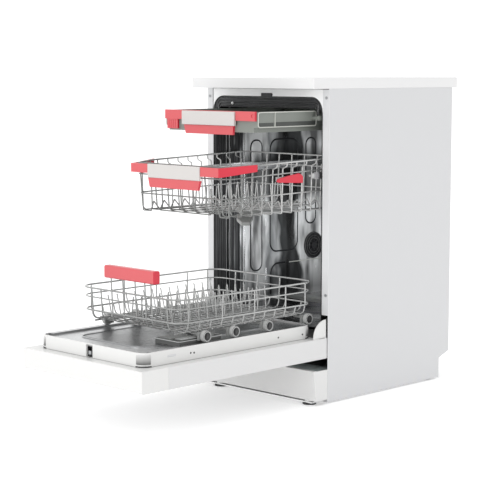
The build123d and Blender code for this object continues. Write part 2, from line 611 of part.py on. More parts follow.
# Liner: pressed steel sheet, sunk inside the raised edge.
with BuildPart() as door_liner:
    with BuildSketch(Plane.XY.offset(203)):
        with Locations((0, -321 + YF)):
            RectangleRounded(2 * INNER_X - 6, 576, 23.5)
    extrude(amount=1.2)
    with BuildSketch(Plane.XY.offset(204.2)):
        with Locations((0, -330 + YF)):
            RectangleRounded(250, 450, 40)
            RectangleRounded(244, 444, 37, mode=Mode.SUBTRACT)
    extrude(amount=2.0)
    for s in (-1, 1):
        xa, xb = sorted((s * 176, s * 191.8))
        block(xa, xb, -585, -50, 204.0, INNER_Z)
    block(78, 172, -477, -328, 202, 208, Mode.SUBTRACT)
save(door_liner, "door_liner")

# Control fascia: moulded strip that ends the outer face, with button holes.
BUTTONS = ((-170, 9.0), (-40, 8.0), (170, 9.0))
with BuildPart() as control_fascia:
    block(-223.5, 223.5, DOOR_Y0, FASCIA_Y - 0.4, DOOR_Z0, DOOR_Z1)
    fillet(control_fascia.edges().filter_by(Axis.X).group_by(Axis.Y)[0].sort_by(Axis.Z)[0], radius=5)
    block(-221, 221, DOOR_Y0 + 2.5, FASCIA_Y + 1, DOOR_Z0 + 2.5, DOOR_Z1 + 1, Mode.SUBTRACT)
    block(-222.6, 222.6, DOOR_Y0 + 1.0, FASCIA_Y + 1, 172, DOOR_Z1 + 1, Mode.SUBTRACT)
    for x, r in BUTTONS:
        cyl_z(x, -600, DOOR_Z0 - 1, DOOR_Z0 + 4, r, Mode.SUBTRACT)
    block(60, 120, -612, -588, DOOR_Z0 - 1, DOOR_Z0 + 1, Mode.SUBTRACT)
save(control_fascia, "control_fascia")


def button(x, r):
    with BuildPart() as cap:
        cyl_z(x, -600, DOOR_Z0, DOOR_Z0 + 2.8, r - 0.35)
        fillet(cap.faces().sort_by(Axis.Z)[0].edges(), radius=0.8)
        cyl_z(x, -600, DOOR_Z0 + 2.8, DOOR_Z0 + 5, r + 1.5)
    return cap.part


power_cap, start_cap = button(*BUTTONS[0]), button(*BUTTONS[2])
program_cap = button(*BUTTONS[1])
with BuildPart() as power_button:
    add(power_cap)
save(power_button, "power_button")
with BuildPart() as start_button:
    add(start_cap)
save(start_button, "start_button")
with BuildPart() as program_button:
    add(program_cap)
save(program_button, "program_button")

# Latch: housing behind the slot and the hook that grips the striker.
with BuildPart() as latch_housing:
    block(-24, 24, -607.8, -572, 176, 202.8)
    block(-9, 9, -609, -574, 179, 200, Mode.SUBTRACT)
save(latch_housing, "latch_housing")
with BuildPart() as door_latch:
    block(-5, 5, -611, -580, 182, 186)
    block(-5, 5, -611, -606.5, 186, 191)
    cyl_x(-8.7, 8.7, -582, 184, 2.5)
save(door_latch, "door_latch")

# Hinge arms: steel bars inside the door that turn on the pins.
arm_bar = prism_x([(-190, 124), (-60, 124), (12, 160), (12, 186), (-18, 186), (-27, 168), (-190, 146)], 205.5, 210.5)
with BuildPart() as hinge_arms:
    add(arm_bar)
    fillet(hinge_arms.edges().filter_by(Axis.X), radius=4)
    block(205.5, 219, -190, -80, 122, 124)
    cyl_x(200, 215, PIVOT_Y, PIVOT_Z, PIN_R + 0.3, Mode.SUBTRACT)
    mirror(about=Plane.YZ)
save(hinge_arms, "hinge_arms")

# Dispenser: grey housing with a recess, sliding lid and rinse-aid cap.
with BuildPart() as dispenser_body:
    block(80, 170, -475, -330, 196, 216)
    fillet(dispenser_body.edges().filter_by(Axis.Z), radius=8)
    block(88, 136, -467, -338, 206, 218, Mode.SUBTRACT)
    cyl_z(153, -360, 206, 218, 13.5, Mode.SUBTRACT)
    block(141, 166, -466, -385, 216, 219)
save(dispenser_body, "dispenser_body")
with BuildPart() as dispenser_lid:
    block(89, 135, -466, -400, 216.3, 219.5)
    fillet(dispenser_lid.edges().filter_by(Axis.Z), radius=5)
    block(93, 131, -409, -406, 219.5, 221.5)
    block(89.5, 134.5, -465, -402, 212, 216.3)
save(dispenser_lid, "dispenser_lid")
with BuildPart() as rinse_aid_cap:
    cyl_z(153, -360, 206.4, 219, 13)
    block(142, 164, -361.5, -358.5, 219, 221.5)
save(rinse_aid_cap, "rinse_aid_cap")

# ============================================================== LOWER BASKET
low_x_rows = [-455 + 37.5 * i for i in range(12)]
low_y_rows = (-140, -104, -64, -20, 26, 62, 84, 140)
low_frame = []
low_frame += ring(LOW_X, LOW_Y0, LOW_Y1, 319, LOW_R, RIM_D)
low_frame += ring(LOW_X - 1.5, LOW_Y0 + 1.5, LOW_Y1 - 1.5, 296, LOW_R - 1.5, WIRE_D)
low_frame += ring(LOW_X - 3, LOW_Y0 + 3, LOW_Y1 - 3, 262, LOW_R - 3, RIM_D)
for i, y in enumerate(low_x_rows):
    x = LOW_X - 4.5 - (0.0 if LOW_Y0 + LOW_R < y < LOW_Y1 - LOW_R else 1.5)
    left = [(-x, y, 262), (-x + 8, y, 236)]
    right = [(x - 8, y, 236), (x, y, 262)]
    if i % 3 == 0 or i == 11:
        left, right = [(-x, y, 317)] + left, right + [(x, y, 317)]
    low_frame += wire(left + right, WIRE_D, 14)
low_floor = []
for x in low_y_rows:
    front = 352 if -100 < x < 92 else 317
    rear = 317 if x in (-104, -20, 62) else 262
    y0 = LOW_Y0 + 4.0
    low_floor += wire([(x, y0, front), (x, y0 + 6, 239.2), (x, LOW_Y1 - 8, 239.2), (x, LOW_Y1 - 3, rear)], WIRE_D, 18)
for y in [v + 18.75 for v in low_x_rows[:-1]]:
    low_floor += wire([(-168, y, 236), (168, y, 236)], WIRE_D)
low_floor += wire([(-150, -470, 232.4), (-150, -30, 232.4)], RIM_D)
low_floor += wire([(150, -470, 232.4), (150, -30, 232.4)], RIM_D)
# Handle: hollow coral grip on the front wires.
with BuildPart() as lower_basket_handle:
    block(-84, 100, -494, -472, 350, 382)
    fillet(lower_basket_handle.edges().filter_by(Axis.X), radius=5)
    fillet(lower_basket_handle.faces().filter_by(Axis.X).edges(), radius=1.5)
    block(-80, 96, -490.5, -470, 346, 378, Mode.SUBTRACT)
save(lower_basket_handle, "lower_basket_handle")

# Wheel carriers: moulded clips with stub axles, four a side.
with BuildPart() as wheel_carriers:
    for y in WHEEL_YS:
        block(172.5, 177.5, y - 18, y + 12, 214, 233.5)
        block(146, 177.5, y - 14, y + 8, 226.2, 230.2)
        cyl_x(177.5, 192.6, y, WHEEL_Z, 3.6)
        cyl_x(191.2, 192.6, y, WHEEL_Z, 5.5)
    mirror(about=Plane.YZ)
save(wheel_carriers, "wheel_carriers")


def wheels(y):
    with BuildPart() as pair:
        cyl_x(178.4, 190.6, y, WHEEL_Z, WHEEL_R)
        fillet(pair.edges().filter_by(GeomType.CIRCLE), radius=1.2)
        cyl_x(188.4, 192, y, WHEEL_Z, 10.5, Mode.SUBTRACT)
        cyl_x(178, 180.2, y, WHEEL_Z, 10.5, Mode.SUBTRACT)
        cyl_x(177, 192, y, WHEEL_Z, 4.0, Mode.SUBTRACT)
        for k in range(6):
            with Locations(Location((184, y + YF, WHEEL_Z), (k * 60 + 30, 0, 0))):
                with Locations((0, 7.4, 0)):
                    Cylinder(1.7, 14, rotation=(0, 90, 0), mode=Mode.SUBTRACT)
        mirror(about=Plane.YZ)
    return pair.part


pairs = [wheels(y) for y in WHEEL_YS]
with BuildPart() as wheel_pair_1:
    add(pairs[0])
save(wheel_pair_1, "wheel_pair_1")
with BuildPart() as wheel_pair_2:
    add(pairs[1])
save(wheel_pair_2, "wheel_pair_2")
with BuildPart() as wheel_pair_3:
    add(pairs[2])
save(wheel_pair_3, "wheel_pair_3")
with BuildPart() as wheel_pair_4:
    add(pairs[3])
save(wheel_pair_4, "wheel_pair_4")

# Plate tines: two fixed rows and two rows that fold flat about their base rods.
TINE_YS = [-440 + 30 * i for i in range(13)]


FOLD_YS = [y + 15 for y in TINE_YS[:-1]]


def tine_row(x, lean, y_list, base, tip):
    rods = wire([(x, y_list[0] - 8, base), (x, y_list[-1] + 8, base)], RIM_D)
    for y in y_list:
        rods += wire([(x, y, base), (x + lean, y, tip)], TINE_D)
    return rods


def saddle(x, y):
    """Clip that holds a folding row's base rod."""
    with BuildPart() as clip:
        block(x - 4.5, x + 4.5, y - 4, y + 4, 241, 249.5)
        cyl_y(x, y - 5, y + 5, 246, RIM_D / 2 + 0.3, Mode.SUBTRACT)
    return clip.part.solid()


fixed_rods = tine_row(-118, -16, TINE_YS, 239.6, 296)
fixed_rods += tine_row(4, -10, TINE_YS, 239.6, 304) + tine_row(46, 12, TINE_YS, 239.6, 300)
fixed_rods += [saddle(x, y) for x in (-58, 92) for y in (-380, -230, -80)]
with BuildPart() as lower_basket_wires:
    add(low_frame + low_floor + fixed_rods, mode=Mode.REPLACE)
save(lower_basket_wires, "lower_basket_wires")
fold_left = tine_row(-58, 5, FOLD_YS, 246, 298)
with BuildPart() as folding_tines_left:
    add(fold_left, mode=Mode.REPLACE)
save(folding_tines_left, "folding_tines_left")
fold_right = tine_row(92, -5, FOLD_YS, 246, 308)
with BuildPart() as folding_tines_right:
    add(fold_right, mode=Mode.REPLACE)
save(folding_tines_right, "folding_tines_right")

# ============================================================== UPPER BASKET
UP_RISE = 12.0       # the rims rise towards the rear
up_rows = [UP_Y0 + 22 + 36.5 * i for i in range(11)]
up = []
rim_plan = [(-154.6, -320), (154.6, -320), (187.2, -229), (UP_X, UP_Y1), (-UP_X, UP_Y1), (-187.2, -229)]
up += wire([(x, y, 627 + UP_RISE * (y - UP_Y0) / (UP_Y1 - UP_Y0)) for x, y in rim_plan], RIM_D, 22, True)
up += ring(UP_X - 15.4, UP_Y0 + 4, UP_Y1 - 4, 598, 30, WIRE_D, UP_RISE)
up += ring(UP_X - 18.4, UP_Y0 + 7, UP_Y1 - 7, 548, 30, WIRE_D, 6)
for y in up_rows:
    x = UP_X - 4 - (0.0 if UP_Y0 + 50 < y < UP_Y1 - 40 else 6.0)
    rim = min(UP_X - 4.0, 154.6 + (y + 320) * 32.6 / 91 - 3.9)
    t = 627 + UP_RISE * (y - UP_Y0) / (UP_Y1 - UP_Y0)
    for m in (-1, 1):
        if y < -290:
            path = [(m * rim, y, t), (m * rim, y, t - 20), (m * (x - 15), y, t - 27)]
        else:
            path = [(m * rim, y, t), (m * (rim - 1), y, t - 10), (m * (x - 15), y, t - 16)]
        up += wire(path + [(m * (x - 19), y, 502), (m * (x - 50), y, 502)], WIRE_D, 3.5)
    up += wire([(-x + 49, y, 502), (-118, y, 528), (-92, y, 506), (92, y, 506), (118, y, 528), (x - 49, y, 502)], WIRE_D)
for x in (-148, -93, -47, 0, 47, 93, 148):
    z = 504.5 if abs(x) > 100 else 508.8
    up += wire([(x, UP_Y0 + 1, 626), (x, UP_Y0 + 12, z), (x, UP_Y1 - 12, z), (x, UP_Y1 - 3, 637)], WIRE_D, 14)
for i, y in enumerate(up_rows[1:-1]):
    up += wire([(-70, y + 10, 508), (-76, y + 10, 566)], TINE_D)
    up += wire([(-12, y + 10, 508), (-6, y + 10, 566)], TINE_D)
    up += wire([(52, y + 10, 508), (46, y + 10, 566)], TINE_D)
up += list(basket_runners.part.solids())
with BuildPart() as upper_basket_wires:
    add(up, mode=Mode.REPLACE)
save(upper_basket_wires, "upper_basket_wires")

# Handle: coral surround with tapering arms to both sides and a lower strip.
grip_plan = prism_z(
    [(-190.7, -228), (-195, -232), (-162, -335), (162, -335), (195, -232), (190.7, -228), (156, -327), (-156, -327)],
    602, 634)
above_grip = prism_x([(-340, 626.5), (-327, 626.5), (-225, 632.5), (-225, 640), (-340, 640)], -200, 200)
below_grip = prism_x([(-340, 603.5), (-327, 603.5), (-225, 616), (-225, 598), (-340, 598)], -200, 200)
grip_strip = Plane.XZ.offset(335 - YF)
with BuildPart() as upper_basket_handle:
    add(grip_plan)
    add(above_grip, mode=Mode.SUBTRACT)
    add(below_grip, mode=Mode.SUBTRACT)
    with BuildSketch(grip_strip):
        with BuildLine():
            Polyline((-96, 592), (96, 592), (89, 568), (-90, 568), close=True)
        make_face()
    extrude(amount=-7)
    block(-88, 88, -331, -328, 591, 606)
    block(-97, 97, -337, -331.5, 592, 628, Mode.SUBTRACT)
    for x in (-60, 60):
        block(x - 6, x + 6, -328, -320.5, 604, 624.5)
save(upper_basket_handle, "upper_basket_handle")
with BuildPart() as upper_handle_insert:
    block(-96.6, 96.6, -337, -331.5, 592.3, 627.4)
    fillet(upper_handle_insert.faces().sort_by(Axis.Y)[0].edges(), radius=1.5)
save(upper_handle_insert, "upper_handle_insert")

# Height lever on each side: a coral tongue that is lifted to drop the basket.
lever = prism_x([(-157, 592), (-150, 601), (-76, 604), (-60, 596), (-60, 578), (-150, 583)], 186.6, 190.5)
with BuildPart() as height_levers:
    add(lever)
    fillet(height_levers.edges().filter_by(Axis.X), radius=2.5)
    cyl_x(185.6, 186.6, -64, 590, 4)
    mirror(about=Plane.YZ)
save(height_levers, "height_levers")

# Upper spray arm, its hub, and the feed pipe under the basket.
arm_up = prism_z(
    [(-170, -12), (-60, -18), (60, -21), (170, -9), (170, 12), (60, 18), (-60, 21), (-170, 9)],
    474, 483).rotate(Axis((0, YF, 0), (0, 0, 1)), -45).translate((0, ARM_Y, 0))
with BuildPart() as upper_spray_arm:
    add(arm_up)
    fillet(upper_spray_arm.edges().filter_by(Axis.Z), radius=6)
    fillet(upper_spray_arm.faces().sort_by(Axis.Z)[-1].edges(), radius=3)
    cyl_z(0, ARM_Y, 471, 487, 22)
    for t in (-155, -125, -92, -60, 52, 84, 116, 148):
        with Locations((t * math.cos(math.radians(45)), ARM_Y + YF - t * math.sin(math.radians(45)), 483)):
            Cylinder(2.0, 6, mode=Mode.SUBTRACT)
save(upper_spray_arm, "upper_spray_arm")
with BuildPart() as upper_feed_pipe:
    cyl_z(0, ARM_Y, 487.4, 500.2, 15)
    block(-13, 13, ARM_Y, 110, 489, 500.2)
    cyl_y(0, 96, 114, 500, 12)
    block(-20, 20, 96, 112, 500, 503)
    cyl_y(0, 100, 116, 500, 8.5, Mode.SUBTRACT)
save(upper_feed_pipe, "upper_feed_pipe")

# =============================================================== CUTLERY TRAY
# Stepped tray of touching sheets: deep middle, shallow ledges, slotted floor,
# and runners that stand off its rear half.
TRAY_X, TRAY_LOW_X = 168.0, 156.0
TRAY_T = 2.2
ty0, ty1 = TRAY_Y0 + TRAY_T, TRAY_Y1 - TRAY_T
tray_parts = []
for side in (-1, 1):
    boxes = [
        (TRAY_X - TRAY_T, TRAY_X, TRAY_Y0, TRAY_Y1, 721, 761),
        (TRAY_LOW_X, TRAY_X - TRAY_T, ty0, ty1, 721, 723),
        (TRAY_LOW_X - TRAY_T, TRAY_LOW_X, ty0, ty1, 709, 723),
        (187.6, 193.6, -4, TRAY_Y1, 736.2, 747.8),
    ]
    boxes += [(TRAY_X, 187.6, y, y + 12, 738, 746) for y in (-4, 115, 235)]
    for x0, x1, y0, y1, z0, z1 in boxes:
        xa, xb = sorted((side * x0, side * x1))
        tray_parts.append(slab(xa, xb, y0, y1, z0, z1))
for y0, y1 in ((TRAY_Y0, ty0), (ty1, TRAY_Y1)):
    tray_parts.append(slab(-TRAY_X + TRAY_T, TRAY_X - TRAY_T, y0, y1, 721, 761))
    tray_parts.append(slab(-TRAY_LOW_X, TRAY_LOW_X, y0, y1, 709, 721))
low_in = TRAY_LOW_X - TRAY_T
for x0, x1 in ((-low_in, -146), (-70, -52), (48, 66), (146, low_in)):
    tray_parts.append(slab(x0, x1, ty0, ty1, 709, 711))
slots = [-147 + 31 * i for i in range(12)]
edges = [(ty0, slots[0])] + [(a + 14, b) for a, b in zip(slots, slots[1:])] + [(slots[-1] + 14, ty1)]
for x0, x1 in ((-146, -70), (-52, 48), (66, 146)):
    tray_parts += [slab(x0, x1, y0, y1, 709, 711) for y0, y1 in edges]
for x in (-62, 58):
    tray_parts.append(slab(x - 1.2, x + 1.2, ty0, ty1, 711, 752))
for x0, x1 in ((-low_in, -63.2), (-60.8, 56.8), (59.2, low_in)):
    tray_parts.append(slab(x0, x1, -160, -158, 711, 748))
with BuildPart() as cutlery_tray:
    add(tray_parts, mode=Mode.REPLACE)
save(cutlery_tray, "cutlery_tray")
with BuildPart() as cutlery_handle:
    block(-165.5, 165.5, -212, -205, 738, 762)
    with BuildSketch(Plane.XZ.offset(212 - YF)):
        with BuildLine():
            Polyline((-93, 725), (89, 725), (87.5, 702), (-86, 702), close=True)
        make_face()
    extrude(amount=-7)
    block(-87.5, 87.5, -208.5, -205, 724, 738)
    block(-158, -118, -211, -205, 713, 738)
    for x in (-152, -144, -136, -128):
        block(x - 1.5, x + 1.5, -212, -210, 714, 736)
    block(-97, 97, -218, -209, 724.5, 763, Mode.SUBTRACT)
    cyl_y(158, -213, -210.5, 751, 5, Mode.SUBTRACT)
save(cutlery_handle, "cutlery_handle")
with BuildPart() as cutlery_handle_insert:
    block(-96.5, 96.5, -217, -209, 725, 760.5)
    fillet(cutlery_handle_insert.faces().sort_by(Axis.Y)[0].edges(), radius=1.5)
save(cutlery_handle_insert, "cutlery_handle_insert")
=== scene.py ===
import math

import bmesh
import bpy
from mathutils import Matrix, Vector


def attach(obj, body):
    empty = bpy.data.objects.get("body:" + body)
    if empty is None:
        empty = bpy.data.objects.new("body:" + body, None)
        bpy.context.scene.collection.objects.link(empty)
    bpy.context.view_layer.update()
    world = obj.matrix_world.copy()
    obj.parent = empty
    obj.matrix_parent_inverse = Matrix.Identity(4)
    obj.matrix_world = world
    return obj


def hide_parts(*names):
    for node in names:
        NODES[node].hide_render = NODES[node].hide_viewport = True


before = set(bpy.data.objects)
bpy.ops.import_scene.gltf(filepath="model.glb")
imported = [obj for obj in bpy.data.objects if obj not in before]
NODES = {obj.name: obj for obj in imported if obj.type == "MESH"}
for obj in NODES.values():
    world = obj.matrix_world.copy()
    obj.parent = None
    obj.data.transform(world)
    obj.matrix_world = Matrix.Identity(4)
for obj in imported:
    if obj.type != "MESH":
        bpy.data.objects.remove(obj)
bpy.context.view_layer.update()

YF = 0.0515   # front frame plane of the cabinet in the part's frame


def P(x, y, z):
    """A point given in millimetres from the cabinet's front plane."""
    return Vector((x / 1000.0, y / 1000.0 + YF, z / 1000.0))


# ------------------------------------------------------------------- camera
scene = bpy.context.scene
cam_data = bpy.data.cameras.new("camera")
cam_data.sensor_width = 36.0
cam_data.lens = 1522.2 / 480.0 * 36.0
cam_data.clip_end = 60.0
cam = bpy.data.objects.new("camera", cam_data)
cam.location = (2.8176, -2.8644, 0.8661)
cam.rotation_euler = (math.radians(90 - 6.39), math.radians(0.0), math.radians(45.0))
scene.collection.objects.link(cam)
scene.camera = cam
scene.view_settings.view_transform = "Standard"
scene.view_settings.look = "None"

# -------------------------------------------------------------------- lights
world = bpy.data.worlds.new("studio")
scene.world = world
world.use_nodes = True
wn = world.node_tree.nodes
wl = world.node_tree.links
wn.clear()
w_out = wn.new("ShaderNodeOutputWorld")
w_bg = wn.new("ShaderNodeBackground")
w_bg.inputs["Color"].default_value = (1.0, 1.0, 1.0, 1.0)
w_bg.inputs["Strength"].default_value = 1.10
wl.new(w_bg.outputs[0], w_out.inputs["Surface"])


def area(name, loc, target, size, energy, color=(1, 1, 1)):
    data = bpy.data.lights.new(name, "AREA")
    data.shape = "RECTANGLE"
    data.size, data.size_y = size
    data.energy = energy
    data.color = color
    o = bpy.data.objects.new(name, data)
    o.location = loc
    d = Vector(target) - Vector(loc)
    o.rotation_euler = d.to_track_quat("-Z", "Y").to_euler()
    scene.collection.objects.link(o)
    return o


area("key_front", (-1.2, -4.4, 1.5), (0, -0.1, 0.4), (2.6, 1.6), 12)
area("front_low", (0.35, -4.6, 0.45), (0, 0.1, 0.42), (2.6, 0.8), 31)
area("top_soft", (0.0, -0.4, 3.6), (0, 0, 0), (3.0, 3.0), 12)
bounce = area("tub_bounce", (0.172, 0.38, 0.42), (-0.2, 0.38, 0.42), (0.30, 0.36), 0.92, (0.97, 0.985, 1.0))
bounce.visible_camera = False


# ----------------------------------------------------------------- materials
def new_mat(name):
    m = bpy.data.materials.new(name)
    m.use_nodes = True
    nt = m.node_tree
    nt.nodes.clear()
    out = nt.nodes.new("ShaderNodeOutputMaterial")
    bsdf = nt.nodes.new("ShaderNodeBsdfPrincipled")
    nt.links.new(bsdf.outputs[0], out.inputs[0])
    return m, nt, bsdf


def coords(nt, scale=(1, 1, 1)):
    tc = nt.nodes.new("ShaderNodeTexCoord")
    mp = nt.nodes.new("ShaderNodeMapping")
    mp.inputs["Scale"].default_value = scale
    nt.links.new(tc.outputs["Object"], mp.inputs["Vector"])
    return mp.outputs["Vector"]


def noise(nt, vec, scale, detail=3.0, rough=0.55):
    n = nt.nodes.new("ShaderNodeTexNoise")
    n.inputs["Scale"].default_value = scale
    n.inputs["Detail"].default_value = detail
    n.inputs["Roughness"].default_value = rough
    nt.links.new(vec, n.inputs["Vector"])
    return n.outputs["Fac"]


def ramp(nt, fac, lo, hi, a=0.3, b=0.7):
    r = nt.nodes.new("ShaderNodeMapRange")
    r.inputs["From Min"].default_value = a
    r.inputs["From Max"].default_value = b
    r.inputs["To Min"].default_value = lo
    r.inputs["To Max"].default_value = hi
    nt.links.new(fac, r.inputs["Value"])
    return r.outputs["Result"]


def two_tone(nt, fac, c0, c1, a=0.3, b=0.7):
    r = nt.nodes.new("ShaderNodeValToRGB")
    r.color_ramp.elements[0].position = a
    r.color_ramp.elements[1].position = b
    r.color_ramp.elements[0].color = (*c0, 1)
    r.color_ramp.elements[1].color = (*c1, 1)
    nt.links.new(fac, r.inputs["Fac"])
    return r.outputs["Color"]


def bump(nt, bsdf, height, strength, distance):
    b = nt.nodes.new("ShaderNodeBump")
    b.inputs["Strength"].default_value = strength
    b.inputs["Distance"].default_value = distance
    nt.links.new(height, b.inputs["Height"])
    nt.links.new(b.outputs["Normal"], bsdf.inputs["Normal"])
    return b


def plain(name, color, rough, metal=0.0, vary=0.03, grain=900.0, grain_h=0.00004, rough_vary=0.05,
          coat=0.0, scale=(1, 1, 1), cloud=6.0, spec=None):
    """Moulded, painted or coated surface: soft clouding, fine grain, uneven gloss."""
    m, nt, bsdf = new_mat(name)
    vec = coords(nt, scale)
    big = noise(nt, vec, cloud, 2.0)
    c0 = tuple(max(0.0, c * (1 - vary)) for c in color)
    c1 = tuple(min(1.0, c * (1 + vary)) for c in color)
    nt.links.new(two_tone(nt, big, c0, c1), bsdf.inputs["Base Color"])
    mid = noise(nt, vec, 45.0, 4.0)
    nt.links.new(ramp(nt, mid, max(0.02, rough - rough_vary), rough + rough_vary), bsdf.inputs["Roughness"])
    fine = noise(nt, vec, grain, 2.0)
    bump(nt, bsdf, fine, 0.35, grain_h)
    bsdf.inputs["Metallic"].default_value = metal
    bsdf.inputs["Coat Weight"].default_value = coat
    bsdf.inputs["Coat Roughness"].default_value = 0.12
    if spec is not None:
        bsdf.inputs["Specular IOR Level"].default_value = spec
    return m


def steel(name, color, rough, stretch=(4, 4, 220), lines=0.06, vary=0.08, line_h=0.00002):
    """Rolled or drawn steel with directional brush lines."""
    m, nt, bsdf = new_mat(name)
    vec = coords(nt, stretch)
    line = noise(nt, vec, 6.0, 5.0, 0.7)
    c0 = tuple(c * (1 - vary) for c in color)
    c1 = tuple(min(1.0, c * (1 + vary)) for c in color)
    nt.links.new(two_tone(nt, line, c0, c1), bsdf.inputs["Base Color"])
    nt.links.new(ramp(nt, line, max(0.03, rough - lines), rough + lines), bsdf.inputs["Roughness"])
    bump(nt, bsdf, line, 0.2, line_h)
    bsdf.inputs["Metallic"].default_value = 1.0
    return m


def tub_steel(name, stops, rough=0.2):
    """Deep-drawn steel with painted reflections: tall bands of light and dark from front to rear, waved and mottled,
    and painted shade behind the upper basket and towards the floor.
    """
    m, nt, bsdf = new_mat(name)

    def math_node(op, a, b):
        n_ = nt.nodes.new("ShaderNodeMath")
        n_.operation = op
        for i, v in enumerate((a, b)):
            if isinstance(v, (int, float)):
                n_.inputs[i].default_value = v
            else:
                nt.links.new(v, n_.inputs[i])
        return n_.outputs[0]

    tc = nt.nodes.new("ShaderNodeTexCoord")
    sep = nt.nodes.new("ShaderNodeSeparateXYZ")
    nt.links.new(tc.outputs["Object"], sep.inputs[0])
    sway = noise(nt, coords(nt, (1.0, 1.0, 1.0)), 5.5, 2.0, 0.5)
    sway2 = noise(nt, coords(nt, (3.0, 3.0, 1.0)), 9.0, 3.0, 0.6)
    y = math_node("ADD", sep.outputs["Y"], math_node("MULTIPLY", math_node("SUBTRACT", sway, 0.5), 0.13))
    y = math_node("ADD", y, math_node("MULTIPLY", math_node("SUBTRACT", sway2, 0.5), 0.035))
    # the rear wall is one depth, so its bands run across its width instead
    rear = nt.nodes.new("ShaderNodeMath")
    rear.operation = "GREATER_THAN"
    rear.inputs[1].default_value = 0.572
    nt.links.new(sep.outputs["Y"], rear.inputs[0])
    across = math_node("ADD", math_node("MULTIPLY", math_node("ABSOLUTE", sep.outputs["X"], 0.0), 2.3), 0.10)
    across = math_node("ADD", across, math_node("MULTIPLY", math_node("SUBTRACT", sway, 0.5), 0.25))
    pick = nt.nodes.new("ShaderNodeMix")
    pick.data_type = "FLOAT"
    nt.links.new(rear.outputs[0], pick.inputs[0])
    nt.links.new(y, pick.inputs[2])
    nt.links.new(across, pick.inputs[3])
    pos = ramp(nt, pick.outputs[0], 0.0, 1.0, 0.05, 0.58)
    r = nt.nodes.new("ShaderNodeValToRGB")
    while len(r.color_ramp.elements) < len(stops):
        r.color_ramp.elements.new(0.5)
    for e, (at_mm, v) in zip(r.color_ramp.elements, stops):
        e.position = at_mm / 530.0
        e.color = (v * (0.93 + 0.06 * v), v * (0.97 + 0.03 * v), v, 1)
    nt.links.new(pos, r.inputs["Fac"])
    blot = ramp(nt, noise(nt, coords(nt, (5.0, 5.0, 1.5)), 4.2, 2.5, 0.5), 0.20, 1.12, 0.38, 0.58)
    tone = nt.nodes.new("ShaderNodeMix")
    tone.data_type = "RGBA"
    tone.blend_type = "MULTIPLY"
    tone.inputs[0].default_value = 1.0
    nt.links.new(r.outputs["Color"], tone.inputs[6])
    # Painted shade: the tone drops to about a quarter in a band behind the upper basket (Z about 0.49 to 0.645 m) and
    # darkens towards the tub floor below Z 0.315 m.
    zed = math_node("ADD", sep.outputs["Z"], math_node("MULTIPLY", math_node("SUBTRACT", sway, 0.5), 0.06))
    low = ramp(nt, zed, 0.0, 1.0, 0.488, 0.515)
    high = ramp(nt, zed, 1.0, 0.0, 0.610, 0.645)
    shade = math_node("SUBTRACT", 1.0, math_node("MULTIPLY", math_node("MULTIPLY", low, high), 0.74))
    painted_floor_shade = ramp(nt, zed, 0.35, 1.0, 0.225, 0.315)
    shade = math_node("MULTIPLY", shade, painted_floor_shade)
    nt.links.new(math_node("MULTIPLY", blot, shade), tone.inputs[7])
    nt.links.new(tone.outputs[2], bsdf.inputs["Base Color"])
    nt.links.new(ramp(nt, sway2, rough - 0.06, rough + 0.08), bsdf.inputs["Roughness"])
    wave = noise(nt, coords(nt, (7.0, 7.0, 2.0)), 1.6, 2.0)
    b0 = bump(nt, bsdf, wave, 0.5, 0.012)
    fine = noise(nt, coords(nt, (40, 40, 900)), 5.0, 2.0)
    b1 = nt.nodes.new("ShaderNodeBump")
    b1.inputs["Strength"].default_value = 0.15
    b1.inputs["Distance"].default_value = 0.00002
    nt.links.new(fine, b1.inputs["Height"])
    nt.links.new(b0.outputs["Normal"], b1.inputs["Normal"])
    nt.links.new(b1.outputs["Normal"], bsdf.inputs["Normal"])
    bsdf.inputs["Metallic"].default_value = 0.30
    return m


def zoned(name, zones, rough, metal=0.0, coat=0.0, even=0.96):
    """Moulding whose tone is set by its place along one axis, which paints light and shade by position on most parts
    here: zones are (axis, from, to, dark tone, light tone) along one axis.
    """
    m, nt, bsdf = new_mat(name)
    axis, lo, hi, stops = zones
    tc = nt.nodes.new("ShaderNodeTexCoord")
    sep = nt.nodes.new("ShaderNodeSeparateXYZ")
    nt.links.new(tc.outputs["Object"], sep.inputs[0])
    pos = ramp(nt, sep.outputs[axis], 0.0, 1.0, lo, hi)
    r = nt.nodes.new("ShaderNodeValToRGB")
    while len(r.color_ramp.elements) < len(stops):
        r.color_ramp.elements.new(0.5)
    for e, (at_mm, c) in zip(r.color_ramp.elements, stops):
        e.position = (at_mm / 1000.0 - lo) / (hi - lo)
        e.color = (*c, 1)
    nt.links.new(pos, r.inputs["Fac"])
    grain = noise(nt, coords(nt), 60.0, 3.0)
    mix = nt.nodes.new("ShaderNodeMix")
    mix.data_type = "RGBA"
    mix.blend_type = "MULTIPLY"
    mix.inputs[0].default_value = 1.0
    nt.links.new(r.outputs["Color"], mix.inputs[6])
    nt.links.new(ramp(nt, grain, even, 1.0), mix.inputs[7])
    nt.links.new(mix.outputs[2], bsdf.inputs["Base Color"])
    nt.links.new(ramp(nt, grain, rough - 0.03 * (1 - even) / 0.04, rough + 0.03 * (1 - even) / 0.04), bsdf.inputs["Roughness"])
    bump(nt, bsdf, noise(nt, coords(nt), 1200.0, 2.0), 0.3, 0.00001)
    bsdf.inputs["Metallic"].default_value = metal
    bsdf.inputs["Coat Weight"].default_value = coat
    bsdf.inputs["Coat Roughness"].default_value = 0.10
    return m


